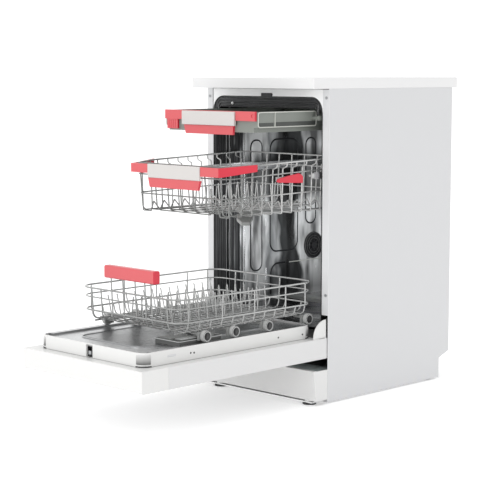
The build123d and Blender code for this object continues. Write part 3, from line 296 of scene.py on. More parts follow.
M = {}
M["board"] = plain("worktop_board", (0.70, 0.70, 0.702), 0.45, vary=0.006, grain=1400, grain_h=0.00002)
M["enamel"] = plain("white_enamel", (0.575, 0.579, 0.589), 0.30, vary=0.004, grain=900, grain_h=0.000008, coat=0.2, rough_vary=0.02)
M["white"] = plain("white_moulding", (0.668, 0.668, 0.66), 0.36, vary=0.006, grain=1500, grain_h=0.00001)
# The door, front frame and kick plate take lighter copies of the white enamel: painted light, strongest on the front
# frame in the worktop's shadow and on the kick plate in the door's shade.
M["enamel_door"] = plain("door_enamel_painted_light", (0.615, 0.615, 0.617), 0.30, vary=0.004, grain=900, grain_h=0.000008, coat=0.2, rough_vary=0.02)
M["enamel_front"] = plain("front_enamel_painted_light", (0.86, 0.862, 0.865), 0.32, vary=0.004, grain=900, grain_h=0.000008, coat=0.15, rough_vary=0.02)
M["enamel_kick"] = plain("kick_enamel_painted_light", (0.655, 0.655, 0.65), 0.34, vary=0.004, grain=900, grain_h=0.000008, coat=0.1, rough_vary=0.02)
M["zinc"] = plain("zinc_plate", (0.40, 0.41, 0.42), 0.42, metal=0.85, vary=0.035, cloud=30, grain=500)
M["cover"] = plain("rear_cover_sheet", (0.37, 0.38, 0.39), 0.46, metal=0.55, vary=0.02, cloud=14, grain=700)
# Painted reflections on the tub steel: tone stops as (mm from the front, value) of light and dark bands.
PAINTED_REFLECTION_BANDS = ((0, 0.05), (58, 0.06), (64, 0.62), (74, 0.10), (104, 0.08), (118, 0.80), (205, 0.97), (224, 0.30),
         (248, 0.62), (264, 0.06), (338, 0.07), (350, 0.90), (440, 0.97), (470, 0.30), (500, 0.75), (530, 0.5))
M["tub"] = tub_steel("tub_steel", PAINTED_REFLECTION_BANDS)
M["tub_light"] = M["tub"]
# Near-black steel for the pressed grooves, beads and bands of the tub: painted shade.
M["groove"] = plain("groove_painted_shade", (0.012, 0.013, 0.015), 0.35, metal=0.3, vary=0.2, grain=800)
M["ridge"] = steel("ridge_steel", (0.82, 0.83, 0.84), 0.25, stretch=(20, 20, 4), lines=0.05)
M["liner"] = steel("liner_steel", (0.47, 0.475, 0.48), 0.30, stretch=(90, 2, 2), lines=0.07, vary=0.05)
# liner_dark is a darker copy of the liner steel: painted reflection on the sunk field.
M["liner_dark"] = steel("liner_field_painted_reflection", (0.27, 0.275, 0.28), 0.30, stretch=(90, 2, 2), lines=0.07, vary=0.08)
M["rail"] = steel("rail_steel", (0.66, 0.67, 0.68), 0.24, stretch=(8, 1, 220), lines=0.06)
M["rubber"] = plain("black_rubber", (0.014, 0.014, 0.016), 0.42, vary=0.2, grain=1100, grain_h=0.00004)
M["gloss"] = plain("wet_rubber_rib", (0.020, 0.021, 0.023), 0.16, vary=0.2, grain=900, grain_h=0.00002, coat=0.5)
M["black"] = plain("black_moulding", (0.018, 0.018, 0.020), 0.40, vary=0.15, grain=1300)
# Painted light on the base moulding: near-white below 22 mm where the machine's shadow falls, and raised grey and light
# teal above it to lift the shade under the door and kick plate; the teal hue is the trim's own.
M["base"] = zoned("base_painted_light", ("Z", 0.0, 0.14, ((0, (0.86, 0.86, 0.86)), (22, (0.86, 0.86, 0.86)), (26, (0.42, 0.44, 0.44)),
                                                      (84, (0.45, 0.50, 0.50)), (90, (0.70, 0.78, 0.78)), (140, (0.70, 0.78, 0.78)))), 0.55)
M["grey"] = plain("grey_moulding", (0.20, 0.205, 0.20), 0.42, vary=0.05, grain=1300)
M["midgrey"] = plain("mid_grey_moulding", (0.30, 0.31, 0.30), 0.42, vary=0.05, grain=1300)
M["lightgrey"] = plain("light_grey_moulding", (0.44, 0.45, 0.445), 0.42, vary=0.05, grain=1300)
M["tyre"] = plain("wheel_moulding", (0.42, 0.425, 0.42), 0.5, vary=0.05, grain=1300)
M["tray"] = plain("tray_moulding", (0.20, 0.215, 0.195), 0.42, vary=0.05, grain=1300)
M["tray_rim"] = plain("tray_rim_moulding", (0.55, 0.56, 0.52), 0.38, vary=0.04, grain=1300)
M["tray_dark"] = plain("tray_shade_moulding", (0.055, 0.060, 0.056), 0.5, vary=0.15, grain=1300)
# Painted shade on the corner pads: near-black at the foot, lightening to pale grey at the top.
M["pad"] = zoned("corner_pad_painted_shade", ("Z", 0.17, 0.21, ((178, (0.05, 0.05, 0.05)), (183, (0.13, 0.13, 0.13)), (190, (0.30, 0.30, 0.295)),
                                                           (199, (0.47, 0.47, 0.465)), (206, (0.62, 0.62, 0.615)))), 0.5)
M["seam_grey"] = plain("seam_grey", (0.33, 0.33, 0.325), 0.5, vary=0.05, grain=1300)
M["bead"] = plain("bead_steel", (0.42, 0.425, 0.43), 0.42, metal=0.4, vary=0.06, grain=600, grain_h=0.00001)
M["coral"] = plain("coral_moulding", (0.595, 0.088, 0.099), 0.38, vary=0.03, grain=1500, grain_h=0.00002, coat=0.1)
# Deep red of the levers' own moulding, also used on the handles' flanks and undersides as painted shade.
M["coral_deep"] = plain("deep_red_and_painted_side_shade", (0.585, 0.016, 0.040), 0.38, vary=0.05, grain=1500, grain_h=0.00002, coat=0.1)
M["insert"] = plain("insert_moulding", (0.55, 0.53, 0.515), 0.45, vary=0.01, grain=1500, grain_h=0.00001)
# Painted light and shade on the coated wire: darker towards the front of the racks, lighter towards the rear inside the
# tub.
M["wire"] = zoned("wire_painted_light", ("Y", -0.60, 0.25, ((-560, (0.19, 0.195, 0.19)), (-190, (0.18, 0.185, 0.18)), (-70, (0.52, 0.525, 0.52)),
                                                    (250, (0.52, 0.525, 0.52)))), 0.24, 0.35, 0.5)
M["wire_low"] = zoned("low_wire_painted_light", ("Y", -0.60, 0.25, ((-560, (0.28, 0.285, 0.28)), (-400, (0.30, 0.305, 0.30)), (-200, (0.44, 0.445, 0.44)),
                                                        (250, (0.50, 0.505, 0.50)))), 0.24, 0.35, 0.5)
M["carrier"] = zoned("carrier_moulding", ("X", -0.2, 0.2, ((-200, (0.03, 0.03, 0.03)), (-191, (0.03, 0.03, 0.03)), (-190, (0.26, 0.265, 0.26)),
                                                       (190, (0.26, 0.265, 0.26)), (191, (0.03, 0.03, 0.03)), (200, (0.03, 0.03, 0.03)))), 0.45)
# Painted light on the side panels: the front flange, up to 52.3 mm back, is a lighter copy of the white enamel.
M["panel"] = zoned("side_enamel_painted_light", ("Y", 0.0, 0.2, ((0, (0.655, 0.66, 0.67)), (52.3, (0.655, 0.66, 0.67)), (53.0, (0.575, 0.579, 0.589)),
                                                 (200, (0.575, 0.579, 0.589)))), 0.32, 0.0, 0.2, 0.997)
M["disp"] = plain("dispenser_moulding", (0.095, 0.098, 0.095), 0.5, vary=0.08, grain=1300)
M["pump"] = plain("pump_moulding", (0.12, 0.12, 0.13), 0.5, vary=0.1)
M["hinge"] = plain("hinge_steel", (0.45, 0.45, 0.46), 0.38, metal=1.0, vary=0.12, cloud=50)
M["pale_dot"] = plain("pale_plug", (0.85, 0.85, 0.84), 0.4, vary=0.02)

NODE_MAT = {
    "worktop": "board", "side_panel_left": "panel", "side_panel_right": "panel", "back_panel": "cover",
    "front_frame": "enamel_front", "base_tray": "base", "leveling_feet": "black", "kick_plate": "enamel_kick",
    "tub": "tub", "tub_gasket": "rubber", "door_striker": "black", "vent_cap": "black", "sump": "pump",
    "filter_plate": "liner", "water_softener": "lightgrey", "feed_duct": "grey", "circulation_pump": "pump",
    "drain_pump": "pump", "inlet_valve": "lightgrey", "drain_spigot": "black", "basket_rails_outer": "rail",
    "cutlery_rails_outer": "rail", "hinge_brackets": "hinge", "door_springs": "zinc", "cabinet_screws": "zinc",
    # basket_rails_mid takes the darker hinge steel instead of the rail steel: painted shade on the mid rails.
    "filter_cylinder": "midgrey", "lower_spray_arm": "grey", "salt_cap": "grey", "basket_rails_mid": "hinge",
    "door_outer_panel": "enamel_door", "door_inner_box": "white", "door_liner": "liner", "control_fascia": "white",
    "latch_housing": "black", "hinge_arms": "hinge", "dispenser_body": "disp", "power_button": "midgrey",
    "start_button": "midgrey", "program_button": "midgrey", "door_latch": "zinc", "dispenser_lid": "grey",
    "rinse_aid_cap": "grey", "lower_basket_wires": "wire_low", "lower_basket_handle": "coral",
    "wheel_carriers": "carrier", "wheel_pair_1": "tyre", "wheel_pair_2": "tyre",
    "wheel_pair_3": "tyre", "wheel_pair_4": "tyre", "folding_tines_left": "wire_low",
    "folding_tines_right": "wire_low", "upper_basket_wires": "wire", "upper_basket_handle": "coral",
    "upper_handle_insert": "insert", "upper_feed_pipe": "grey", "height_levers": "coral_deep",
    "upper_spray_arm": "grey", "cutlery_tray": "tray", "cutlery_handle": "coral",
    "cutlery_handle_insert": "insert",
}
for node_name, key in NODE_MAT.items():
    o = NODES[node_name]
    o.data.materials.clear()
    o.data.materials.append(M[key])

# ------------------------------------------------------------ mesh building
def link(name, me, mats, body, smooth=True, keep=None):
    o = bpy.data.objects.new(name, me)
    scene.collection.objects.link(o)
    for m in (mats if isinstance(mats, (list, tuple)) else [mats]):
        me.materials.append(M[m])
    if smooth:
        for p in me.polygons:
            p.use_smooth = True
    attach(o, body)
    return o


def rrect(cx, cy, w, h, r, seg=8):
    """Rounded rectangle outline, counter-clockwise."""
    r = min(r, w / 2 - 1e-6, h / 2 - 1e-6)
    pts = []
    for sx, sy, a0 in ((1, 1, 0), (-1, 1, 90), (-1, -1, 180), (1, -1, 270)):
        for i in range(seg + 1):
            a = math.radians(a0 + 90.0 * i / seg)
            pts.append((cx + sx * (w / 2 - r) + r * math.cos(a), cy + sy * (h / 2 - r) + r * math.sin(a)))
    return pts


def inset(pts, d):
    """Offsets a closed counter-clockwise outline inwards by d."""
    n = len(pts)
    out = []
    for i in range(n):
        ax, ay = pts[i - 1]
        bx, by = pts[i]
        cx, cy = pts[(i + 1) % n]
        e1 = Vector((bx - ax, by - ay))
        e2 = Vector((cx - bx, cy - by))
        if e1.length < 1e-9:
            e1 = e2
        if e2.length < 1e-9:
            e2 = e1
        n1 = Vector((-e1.y, e1.x)).normalized()
        n2 = Vector((-e2.y, e2.x)).normalized()
        m = n1 + n2
        if m.length < 1e-6:
            m = n1
        m.normalize()
        k = d / max(0.35, m.dot(n1))
        out.append((bx + m.x * k, by + m.y * k))
    return out


def rings_mesh(name, rings, close_first=True, close_last=True, band=None):
    """Closed solid through a list of equal-count vertex rings; band maps ring steps to material slots."""
    me = bpy.data.meshes.new(name)
    b = bmesh.new()
    vr = [[b.verts.new(p) for p in ring] for ring in rings]
    n = len(vr[0])
    for k in range(len(vr) - 1):
        for i in range(n):
            j = (i + 1) % n
            f = b.faces.new((vr[k][i], vr[k][j], vr[k + 1][j], vr[k + 1][i]))
            if band:
                f.material_index = band[k]
    if close_first:
        b.faces.new(list(reversed(vr[0])))
    if close_last:
        f = b.faces.new(vr[-1])
        if band:
            f.material_index = band[-1]
    bmesh.ops.recalc_face_normals(b, faces=b.faces)
    b.to_mesh(me)
    b.free()
    return me


def sharp(me, angle=40.0):
    """Splits the shading where faces meet at more than an angle."""
    b = bmesh.new()
    b.from_mesh(me)
    lim = math.radians(angle)
    for e in b.edges:
        if len(e.link_faces) == 2 and e.calc_face_angle(0.0) > lim:
            e.smooth = False
    b.to_mesh(me)
    b.free()
    return me


def bevelled(me, width, segments=3, angle=40.0):
    """Rounds the sharp edges of a mesh."""
    b = bmesh.new()
    b.from_mesh(me)
    lim = math.radians(angle)
    es = [e for e in b.edges if len(e.link_faces) == 2 and e.calc_face_angle(0.0) > lim]
    bmesh.ops.bevel(b, geom=es, offset=width, segments=segments, profile=0.6, affect="EDGES", clamp_overlap=True)
    bmesh.ops.recalc_face_normals(b, faces=b.faces)
    b.to_mesh(me)
    b.free()
    return me


def box_mesh(name, x0, x1, y0, y1, z0, z1, bev=0.0, seg=3):
    """Box given in millimetres from the cabinet's front plane, with rounded edges."""
    me = bpy.data.meshes.new(name)
    b = bmesh.new()
    bmesh.ops.create_cube(b, size=1.0)
    c = P((x0 + x1) / 2, (y0 + y1) / 2, (z0 + z1) / 2)
    for v in b.verts:
        v.co = Vector((c.x + v.co.x * (x1 - x0) / 1000, c.y + v.co.y * (y1 - y0) / 1000, c.z + v.co.z * (z1 - z0) / 1000))
    b.to_mesh(me)
    b.free()
    if bev:
        bevelled(me, bev / 1000.0, seg)
    return me


def join_meshes(name, meshes):
    me = bpy.data.meshes.new(name)
    b = bmesh.new()
    for m in meshes:
        b.from_mesh(m)
        bpy.data.meshes.remove(m)
    b.to_mesh(me)
    b.free()
    return me


def fillet_path(points, radius, closed=False, seg=6):
    """Polyline through the points with its corners rounded; radius in the points' unit."""
    pts = [Vector(p) for p in points]
    n = len(pts)
    out = []
    for i in range(n):
        if not closed and i in (0, n - 1):
            out.append(pts[i])
            continue
        a, c, d = pts[i - 1], pts[i], pts[(i + 1) % n]
        u, w = (a - c), (d - c)
        lu, lw = u.length, w.length
        u.normalize()
        w.normalize()
        ang = math.acos(max(-1.0, min(1.0, u.dot(w))))
        if ang > math.radians(178):
            out.append(c)
            continue
        r = radius[i] if isinstance(radius, (list, tuple)) else radius
        t = min(r / math.tan(ang / 2), lu * 0.49, lw * 0.49)
        r = t * math.tan(ang / 2)
        centre = c + (u + w).normalized() * (r / math.sin(ang / 2))
        p0, p1 = c + u * t, c + w * t
        v0, v1 = p0 - centre, p1 - centre
        sweep = math.pi - ang
        k = max(2, int(round(seg * sweep / (math.pi / 2))) + 1)
        axis = v0.cross(v1)
        if axis.length < 1e-12:
            out.append(c)
            continue
        axis.normalize()
        for j in range(k + 1):
            out.append(centre + Matrix.Rotation(sweep * j / k, 3, axis) @ v0)
    return out


def tube_into(b, path, r, closed=False, sides=10, round_ends=True):
    """Adds a round wire along a path of metre points to a bmesh, with parallel-carried sections."""
    pts = [Vector(p) for p in path]
    clean = [pts[0]]
    for p in pts[1:]:
        if (p - clean[-1]).length > 1e-6:
            clean.append(p)
    pts = clean
    if closed and (pts[0] - pts[-1]).length < 1e-6:
        pts.pop()
    n = len(pts)
    tang = []
    for i in range(n):
        if closed:
            t = pts[(i + 1) % n] - pts[i - 1]
        elif i == 0:
            t = pts[1] - pts[0]
        elif i == n - 1:
            t = pts[-1] - pts[-2]
        else:
            t = (pts[i + 1] - pts[i]).normalized() + (pts[i] - pts[i - 1]).normalized()
        tang.append(t.normalized())
    ref = Vector((0, 0, 1)) if abs(tang[0].z) < 0.9 else Vector((1, 0, 0))
    nrm = (ref - tang[0] * ref.dot(tang[0])).normalized()
    rings = []
    for i in range(n):
        if i:
            q = tang[i - 1].rotation_difference(tang[i])
            nrm = (q @ nrm)
            nrm = (nrm - tang[i] * nrm.dot(tang[i])).normalized()
        bi = tang[i].cross(nrm)
        rings.append([b.verts.new(pts[i] + (nrm * math.cos(2 * math.pi * k / sides) + bi * math.sin(2 * math.pi * k / sides)) * r)
                      for k in range(sides)])
    m = n if closed else n - 1
    for i in range(m):
        a, c = rings[i], rings[(i + 1) % n]
        shift = 0
        if closed and i == n - 1:
            best = min(range(sides), key=lambda s: sum((a[k].co - c[(k + s) % sides].co).length for k in range(0, sides, 3)))
            shift = best
        for k in range(sides):
            b.faces.new((a[k], a[(k + 1) % sides], c[(k + 1 + shift) % sides], c[(k + shift) % sides]))
    if not closed:
        for ring, t, p, rev in ((rings[0], -tang[0], pts[0], True), (rings[-1], tang[-1], pts[-1], False)):
            if round_ends:
                tip = b.verts.new(p + t * r * 0.75)
                mid = [b.verts.new(p + t * r * 0.5 + (v.co - p) * 0.8) for v in ring]
                for k in range(sides):
                    q = (ring[k], ring[(k + 1) % sides], mid[(k + 1) % sides], mid[k])
                    b.faces.new(tuple(reversed(q)) if rev else q)
                    t3 = (mid[k], mid[(k + 1) % sides], tip)
                    b.faces.new(tuple(reversed(t3)) if rev else t3)
            else:
                b.faces.new(list(reversed(ring)) if rev else ring)


def wires_mesh(name, wires):
    """One mesh of many wires: (points in mm, diameter in mm, bend radius in mm, closed)."""
    me = bpy.data.meshes.new(name)
    b = bmesh.new()
    for points, dia, bend, closed in wires:
        path = [P(*p) for p in points]
        if bend:
            path = fillet_path(path, bend / 1000.0, closed)
        tube_into(b, path, dia / 2000.0, closed, sides=12 if dia >= 3.8 else 10)
    bmesh.ops.recalc_face_normals(b, faces=b.faces)
    b.to_mesh(me)
    b.free()
    return me


TRAY_X = 168.0

def disc(b, centre, normal, r, depth, seg=20):
    """Low round stud on a face."""
    n = Vector(normal).normalized()
    q = Vector((0, 0, 1)).rotation_difference(n).to_matrix()
    rows_ = []
    for rr, h in ((r, -0.0003), (r, depth * 0.6), (r * 0.8, depth), (r * 0.35, depth), (r * 0.3, depth * 0.4)):
        rows_.append([b.verts.new(Vector(centre) + q @ Vector((rr * math.cos(2 * math.pi * k / seg), rr * math.sin(2 * math.pi * k / seg), h)))
                      for k in range(seg)])
    for u, w in zip(rows_, rows_[1:]):
        for k in range(seg):
            b.faces.new((u[k], u[(k + 1) % seg], w[(k + 1) % seg], w[k]))
    b.faces.new(rows_[-1])


def studs(name, items, mat, body):
    me = bpy.data.meshes.new(name)
    b = bmesh.new()
    for centre, normal, r, depth in items:
        disc(b, centre, normal, r / 1000.0, depth / 1000.0)
    bmesh.ops.recalc_face_normals(b, faces=b.faces)
    b.to_mesh(me)
    b.free()
    sharp(me, 35)
    return link(name, me, mat, body)


# ------------------------------------------------------------- tub interior
def field(name, side, y0, y1, z0, z1, r, body="root"):
    """Pressed field of a side wall: running groove in near-black steel as painted shade, around a lighter, slightly
    raised sheet.
    """
    cy, cz, w, h = (y0 + y1) / 2, (z0 + z1) / 2, y1 - y0, z1 - z0
    rings = []
    for grow, depth in ((3.0, -0.3), (3.0, 0.5), (1.4, 1.3), (-0.2, 1.3), (-1.8, 0.4), (-2.6, 0.5)):
        pts = rrect(cy, cz, w + 2 * grow, h + 2 * grow, r + grow, 7)
        rings.append([P(side * (199.0 - depth), a, b) for a, b in pts])
    me = rings_mesh(name, rings, close_first=False, band=[0, 0, 0, 0, 1])
    o = link(name, me, ["groove", "tub_light"], body)
    return o


FIELDS = ((144, 188, 296, 667, 20), (224, 338, 345, 667, 26), (374, 416, 417, 667, 19))
for tag, side in (("left", -1), ("right", 1)):
    for i, (y0, y1, z0, z1, r) in enumerate(FIELDS):
        field("tub_field_%s_%d" % (tag, i + 1), side, y0, y1, z0, z1, r)
    # lower field, open towards the floor; its bead is near-black groove steel as painted shade
    low = [(side * 198.6, 226, 222), (side * 198.6, 226, 309), (side * 198.6, 285, 309)]
    link("tub_low_bead_%s" % tag, wires_mesh("low_bead", [(low, 5.0, 32, False)]), "groove", "root")
    # Light grey line along the pressed ledge at 308 mm: painted highlight.
    link("tub_ledge_line_%s" % tag, wires_mesh("ledge_highlight", [
        ([(side * 198.6, 303, 308), (side * 198.6, 500, 308)], 2.6, None, False)]), "tray_rim", "root")
    link("tub_ledge_bead_%s" % tag, wires_mesh("ledge_bead", [
        ([(side * 198.9, 118, 240), (side * 198.9, 118, 700)], 3.4, None, False),
        ([(side * 198.9, 206, 232), (side * 198.9, 206, 300)], 2.6, None, False),
        ([(side * 198.9, 452, 232), (side * 198.9, 452, 720)], 3.0, None, False)]), "ridge", "root")
    # oval shade field high on the wall: only its outline is computed, nothing is built from it
    oval = [(341 + 24 * math.cos(a), 664 + 42 * math.sin(a)) for a in [2 * math.pi * i / 40 for i in range(40)]]


def hoop(name, y, mat, dia, offset=0.4, z_low=214):
    """Running bead around the inside of the tub, parallel to its mouth."""
    x = 199.0 - offset
    pts = [(-x, y, z_low), (-x, y, 793 - offset), (x, y, 793 - offset), (x, y, z_low)]
    return link(name, wires_mesh(name, [(pts, dia, 30, False)]), mat, "root")


hoop("mouth_bead_1", 45.5, "bead", 3.0, 0.6)
# The middle mouth bead is near-black groove steel: painted shade.
hoop("mouth_bead_2", 51.5, "groove", 5.0, 0.2)
hoop("mouth_bead_3", 58.0, "bead", 3.0, 0.6)


def ribbon(name, y0, y1, mat, depth=0.5):
    """Flat pressed band around the inside of the tub."""
    rings = []
    for y, d in ((y0, -0.2), (y0 + 1.0, depth), (y1 - 1.0, depth), (y1, -0.2)):
        x, z = 199.0 - d, 793.0 - d
        pts = fillet_path([(-x, 0, 214), (-x, 0, z), (x, 0, z), (x, 0, 214)], 30 - d, seg=8)
        rings.append([P(p[0], y, p[2]) for p in pts])
    me = bpy.data.meshes.new(name)
    b = bmesh.new()
    vr = [[b.verts.new(p) for p in ring] for ring in rings]
    for k in range(3):
        for i in range(len(vr[0]) - 1):
            b.faces.new((vr[k][i], vr[k][i + 1], vr[k + 1][i + 1], vr[k + 1][i]))
    bmesh.ops.recalc_face_normals(b, faces=b.faces)
    b.to_mesh(me)
    b.free()
    return link(name, me, mat, "root")


# The mouth bands are near-black groove steel: painted shade.
ribbon("mouth_band_1", 63, 76, "groove")
ribbon("mouth_band_2", 82, 100, "groove")
ribbon("mouth_band_3", 106, 112, "groove")

studs("vent_back", [(P(-198.9, 406, 350), (1, 0, 0), 34.2, 1.0)], "black", "root")
link("vent_rings", wires_mesh("vent_rings", [
    ([(-194.4, 406 + r * math.cos(2 * math.pi * k / 40), 350 + r * math.sin(2 * math.pi * k / 40)) for k in range(40)],
     1.6, None, True) for r in (38.0, 29.0, 21.0)]), "disp", "root")

# rear wall: running beads beside the ribs
rear = []
for x in (-152, -105, -55, 55, 105, 152):
    rear.append(([(x, 525.4, 260), (x, 525.4, 730)], 4.2, None, False))
rear.append(([(-170, 526, 250), (170, 526, 250)], 4.2, None, False))
rear.append(([(-170, 526, 742), (170, 526, 742)], 4.2, None, False))
# The rear beads are near-black groove steel: painted shade.
link("tub_rear_beads", wires_mesh("rear_beads", rear), "groove", "root")

# ------------------------------------------------------------- mouth of the tub
arch = []
for z, y, d in ((788.5, 2.7, 3.4), (779.0, 2.9, 4.6), (770.5, 2.7, 3.4)):
    arch.append(([(-186 + (793 - z) * 0.2, y, z - 30), (-186 + (793 - z) * 0.2, y, z), (186 - (793 - z) * 0.2, y, z),
                  (186 - (793 - z) * 0.2, y, z - 30)], d, 20, False))
link("gasket_ribs", wires_mesh("gasket_ribs", arch), "gloss", "root")
link("gasket_lip_left", wires_mesh("lip_left", [
    ([(-195.9, y, 226), (-195.9, y, 752)], 1.6, None, False) for y in (12.5, 26.5, 39.5)]), "gloss", "root")
link("gasket_lip_right", wires_mesh("lip_right", [
    ([(195.9, y, 226), (195.9, y, 752)], 1.6, None, False) for y in (12.5, 26.5, 39.5)]), "gloss", "root")
plug = bpy.data.meshes.new("frame_plug")
bm = bmesh.new()
bmesh.ops.create_uvsphere(bm, u_segments=20, v_segments=12, radius=0.0042, matrix=Matrix.Translation(P(-129, 2.2, 776)))
bm.to_mesh(plug)
bm.free()
link("frame_plug", plug, "pale_dot", "root")
keeper = join_meshes("striker_box", [box_mesh("k1", -17, 22, -2.6, 0.2, 794.6, 804.4, 0.5),
                                     box_mesh("k2", -13, -9.5, -3.2, -2.2, 797, 802.5, 0.3),
                                     box_mesh("k3", 14.5, 18, -3.2, -2.2, 797, 802.5, 0.3)])
link("striker_box", keeper, "black", "root")
# seams of the cabinet's front
seams = join_meshes("front_seams", [box_mesh("s1", -203.2, -201.2, -0.35, 0.4, 757, 815, 0.0),
                                    box_mesh("s2", -203, 223.0, -0.35, 0.4, 815.2, 816.9, 0.0)])
link("front_seams", seams, "black", "root", smooth=False)


# ------------------------------------------------------------- door details
def corner_pad(name, sx, sy):
    """Soft grey pad wrapped around one corner of the raised inner box, in painted shade that darkens towards its foot.
    """
    cx, cy, r = sx * (195.0 - 26.0), -321 + sy * (291.0 - 26.0), 26.0
    a_mid = math.degrees(math.atan2(sy, sx))
    rings = []
    angles = [math.radians(a_mid - 39 + 78.0 * i / 18) for i in range(19)]
    prof = ((r - 0.5, 181.0), (r + 1.2, 181.6), (r + 1.6, 183.5), (r + 1.6, 200.5), (r + 1.2, 203.6), (r - 0.5, 205.2))
    me = bpy.data.meshes.new(name)
    b = bmesh.new()
    cols = [[b.verts.new(P(cx + q * math.cos(a), cy + q * math.sin(a), z)) for q, z in prof] for a in angles]
    n = len(prof)
    for i in range(len(cols) - 1):
        for k in range(n):
            j = (k + 1) % n
            b.faces.new((cols[i][k], cols[i + 1][k], cols[i + 1][j], cols[i][j]))
    b.faces.new(cols[0])
    b.faces.new(list(reversed(cols[-1])))
    bmesh.ops.recalc_face_normals(b, faces=b.faces)
    b.to_mesh(me)
    b.free()
    sharp(me, 40)
    return link(name, me, "pad", "door")


for tag, sx, sy in (("front_right", 1, -1), ("front_left", -1, -1), ("rear_right", 1, 1), ("rear_left", -1, 1)):
    corner_pad("corner_pad_" + tag, sx, sy)

# shadow gap where the raised box meets the frame sheet
gap = []
pts = rrect(0, -321, 390.6, 582.6, 26.3, 10)
link("door_box_gap", wires_mesh("door_gap", [([(x, y, 175.0) for x, y in pts], 1.5, None, True)]), "seam_grey", "door")
# dark joint line at the four corners under the pads
dark = []
for sx, sy in ((1, -1), (-1, -1), (1, 1), (-1, 1)):
    cx, cy = sx * 169.0, -321 + sy * 265.0
    a_mid = math.degrees(math.atan2(sy, sx))
    dark.append(([(cx + 26.9 * math.cos(math.radians(a_mid - 42 + 84 * i / 12.0)),
                   cy + 26.9 * math.sin(math.radians(a_mid - 42 + 84 * i / 12.0)), 176.3) for i in range(13)], 2.6, None, False))
link("door_corner_joints", wires_mesh("corner_joints", dark), "black", "door")


studs("door_side_screws", [(P(s * 195, y, z), (s, 0, 0), 2.3, 0.7) for s in (-1, 1)
                           for y, z in ((-460, 192), (-449, 191.2), (-156, 191), (-66, 188))], "black", "door")
studs("door_end_screw", [(P(0, -612, 173.8 + 6), (0, -1, 0), 3.0, 0.8)], "black", "door")
marks = join_meshes("door_side_marks", [box_mesh("m1", 194.8, 195.5, -535, -508, 191.2, 196.6, 0.3),
                                        box_mesh("m2", -195.5, -194.8, -535, -508, 191.2, 196.6, 0.3)])
link("door_side_marks", marks, "enamel", "door")
latch_rim = []
for z0, z1, x0, x1 in ((174.6, 206.0, -11.5, 11.5),):
    latch_rim.append(([(x0, -612.2, z0 + 2), (x0, -612.2, z1), (x1, -612.2, z1), (x1, -612.2, z0 + 2)], 1.6, 2, False))
link("latch_rim", wires_mesh("latch_rim", latch_rim), "seam_grey", "door")

# liner: sunk field with a running bead, in a darker copy of the brushed steel as painted reflection
fld = []
for grow, z in ((0.0, 204.1), (0.0, 204.6), (-2.0, 205.0), (-4.0, 204.5)):
    fld.append([P(x, y, z) for x, y in rrect(-14, -322, 246 + 2 * grow, 440 + 2 * grow, 34 + grow, 8)])
link("liner_field", rings_mesh("liner_field", fld, close_first=False, band=[0, 0, 0]), ["liner_dark"], "door")
lip = rrect(0, -321, 386.5, 578.5, 24.5, 10)
link("liner_edge", wires_mesh("liner_edge", [([(x, y, 207.6) for x, y in lip], 2.4, None, True)]), "ridge", "door")

# ------------------------------------------------------------- dispenser
rim = rrect(125, -402.5, 93, 148, 9, 6)
link("dispenser_rim", wires_mesh("dispenser_rim", [([(x, y, 216.3) for x, y in rim], 2.2, None, True)]), "lightgrey", "door")
ribs = [box_mesh("r%d" % i, 142 + i * 3.4, 143.8 + i * 3.4, -462, -390, 218.6, 220.6, 0.4) for i in range(7)]
link("dispenser_ribs", join_meshes("dispenser_ribs", ribs), "lightgrey", "door")
# Black sheet on the floor of the dispenser's well: painted shade in the recess.
link("dispenser_well_painted_shade", box_mesh("dispenser_well_painted_shade", 88.4, 135.6, -396, -338.6, 206.1, 206.9, 0.2), "black", "door")


# ------------------------------------------------------------- softened mouldings
def soften(node, body, width, mats, split=None, segments=3, angle=35.0):
    """A moulding with rounded edges, made from the CAD node's own surface."""
    src = NODES[node].data
    me = bpy.data.meshes.new(node + "_soft")
    b = bmesh.new()
    b.from_mesh(src)
    bmesh.ops.remove_doubles(b, verts=b.verts, dist=1e-6)
    bmesh.ops.dissolve_limit(b, angle_limit=math.radians(0.8), verts=b.verts, edges=b.edges, delimit={"NORMAL"})
    lim = math.radians(angle)
    es = [e for e in b.edges if len(e.link_faces) == 2 and e.calc_face_angle(0.0) > lim]
    bmesh.ops.bevel(b, geom=es, offset=width / 1000.0, segments=segments, profile=0.55, affect="EDGES", clamp_overlap=True)
    bmesh.ops.recalc_face_normals(b, faces=b.faces)
    for f in b.faces:
        f.smooth = True
        if split:
            f.material_index = split(f)
    b.to_mesh(me)
    b.free()
    o = bpy.data.objects.new(node + "_soft", me)
    scene.collection.objects.link(o)
    for m in mats:
        me.materials.append(M[m])
    wn_mod = o.modifiers.new("shade", "WEIGHTED_NORMAL")
    wn_mod.keep_sharp = True
    wn_mod.weight = 80
    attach(o, body)
    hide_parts(node)
    return o


def painted_side_shade(f):
    """Painted shade: a deeper tone on the moulding's flanks and underside, picked by face direction."""
    return 1 if abs(f.normal.x) > 0.55 or f.normal.z < -0.6 else 0


soften("lower_basket_handle", "lower_basket", 2.2, ["coral", "coral_deep"], painted_side_shade)
soften("upper_basket_handle", "upper_basket", 1.6, ["coral", "coral_deep"], painted_side_shade)
soften("upper_handle_insert", "upper_basket", 1.2, ["insert"])


def lever_tongue(name, side):
    """Wedge with a thumb rest: thin towards the front, deep at its pivot."""
    out = [(-156.4, 588.4), (-151, 593.2), (-120, 598.4), (-90, 602.2), (-76, 603.7), (-66, 600.0), (-60.4, 595.6),
           (-60.3, 579.2), (-64, 578.6), (-100, 580.4), (-150, 583.4), (-155.4, 585.6)]
    rings = []
    for x, d in ((186.7, 0.0), (189.4, 0.0), (190.3, 0.9)):
        pts = inset(out[::-1], d) if d else out[::-1]
        rings.append([P(side * x, a, b) for a, b in pts])
    me = rings_mesh(name, rings)
    sharp(me, 35)
    return me


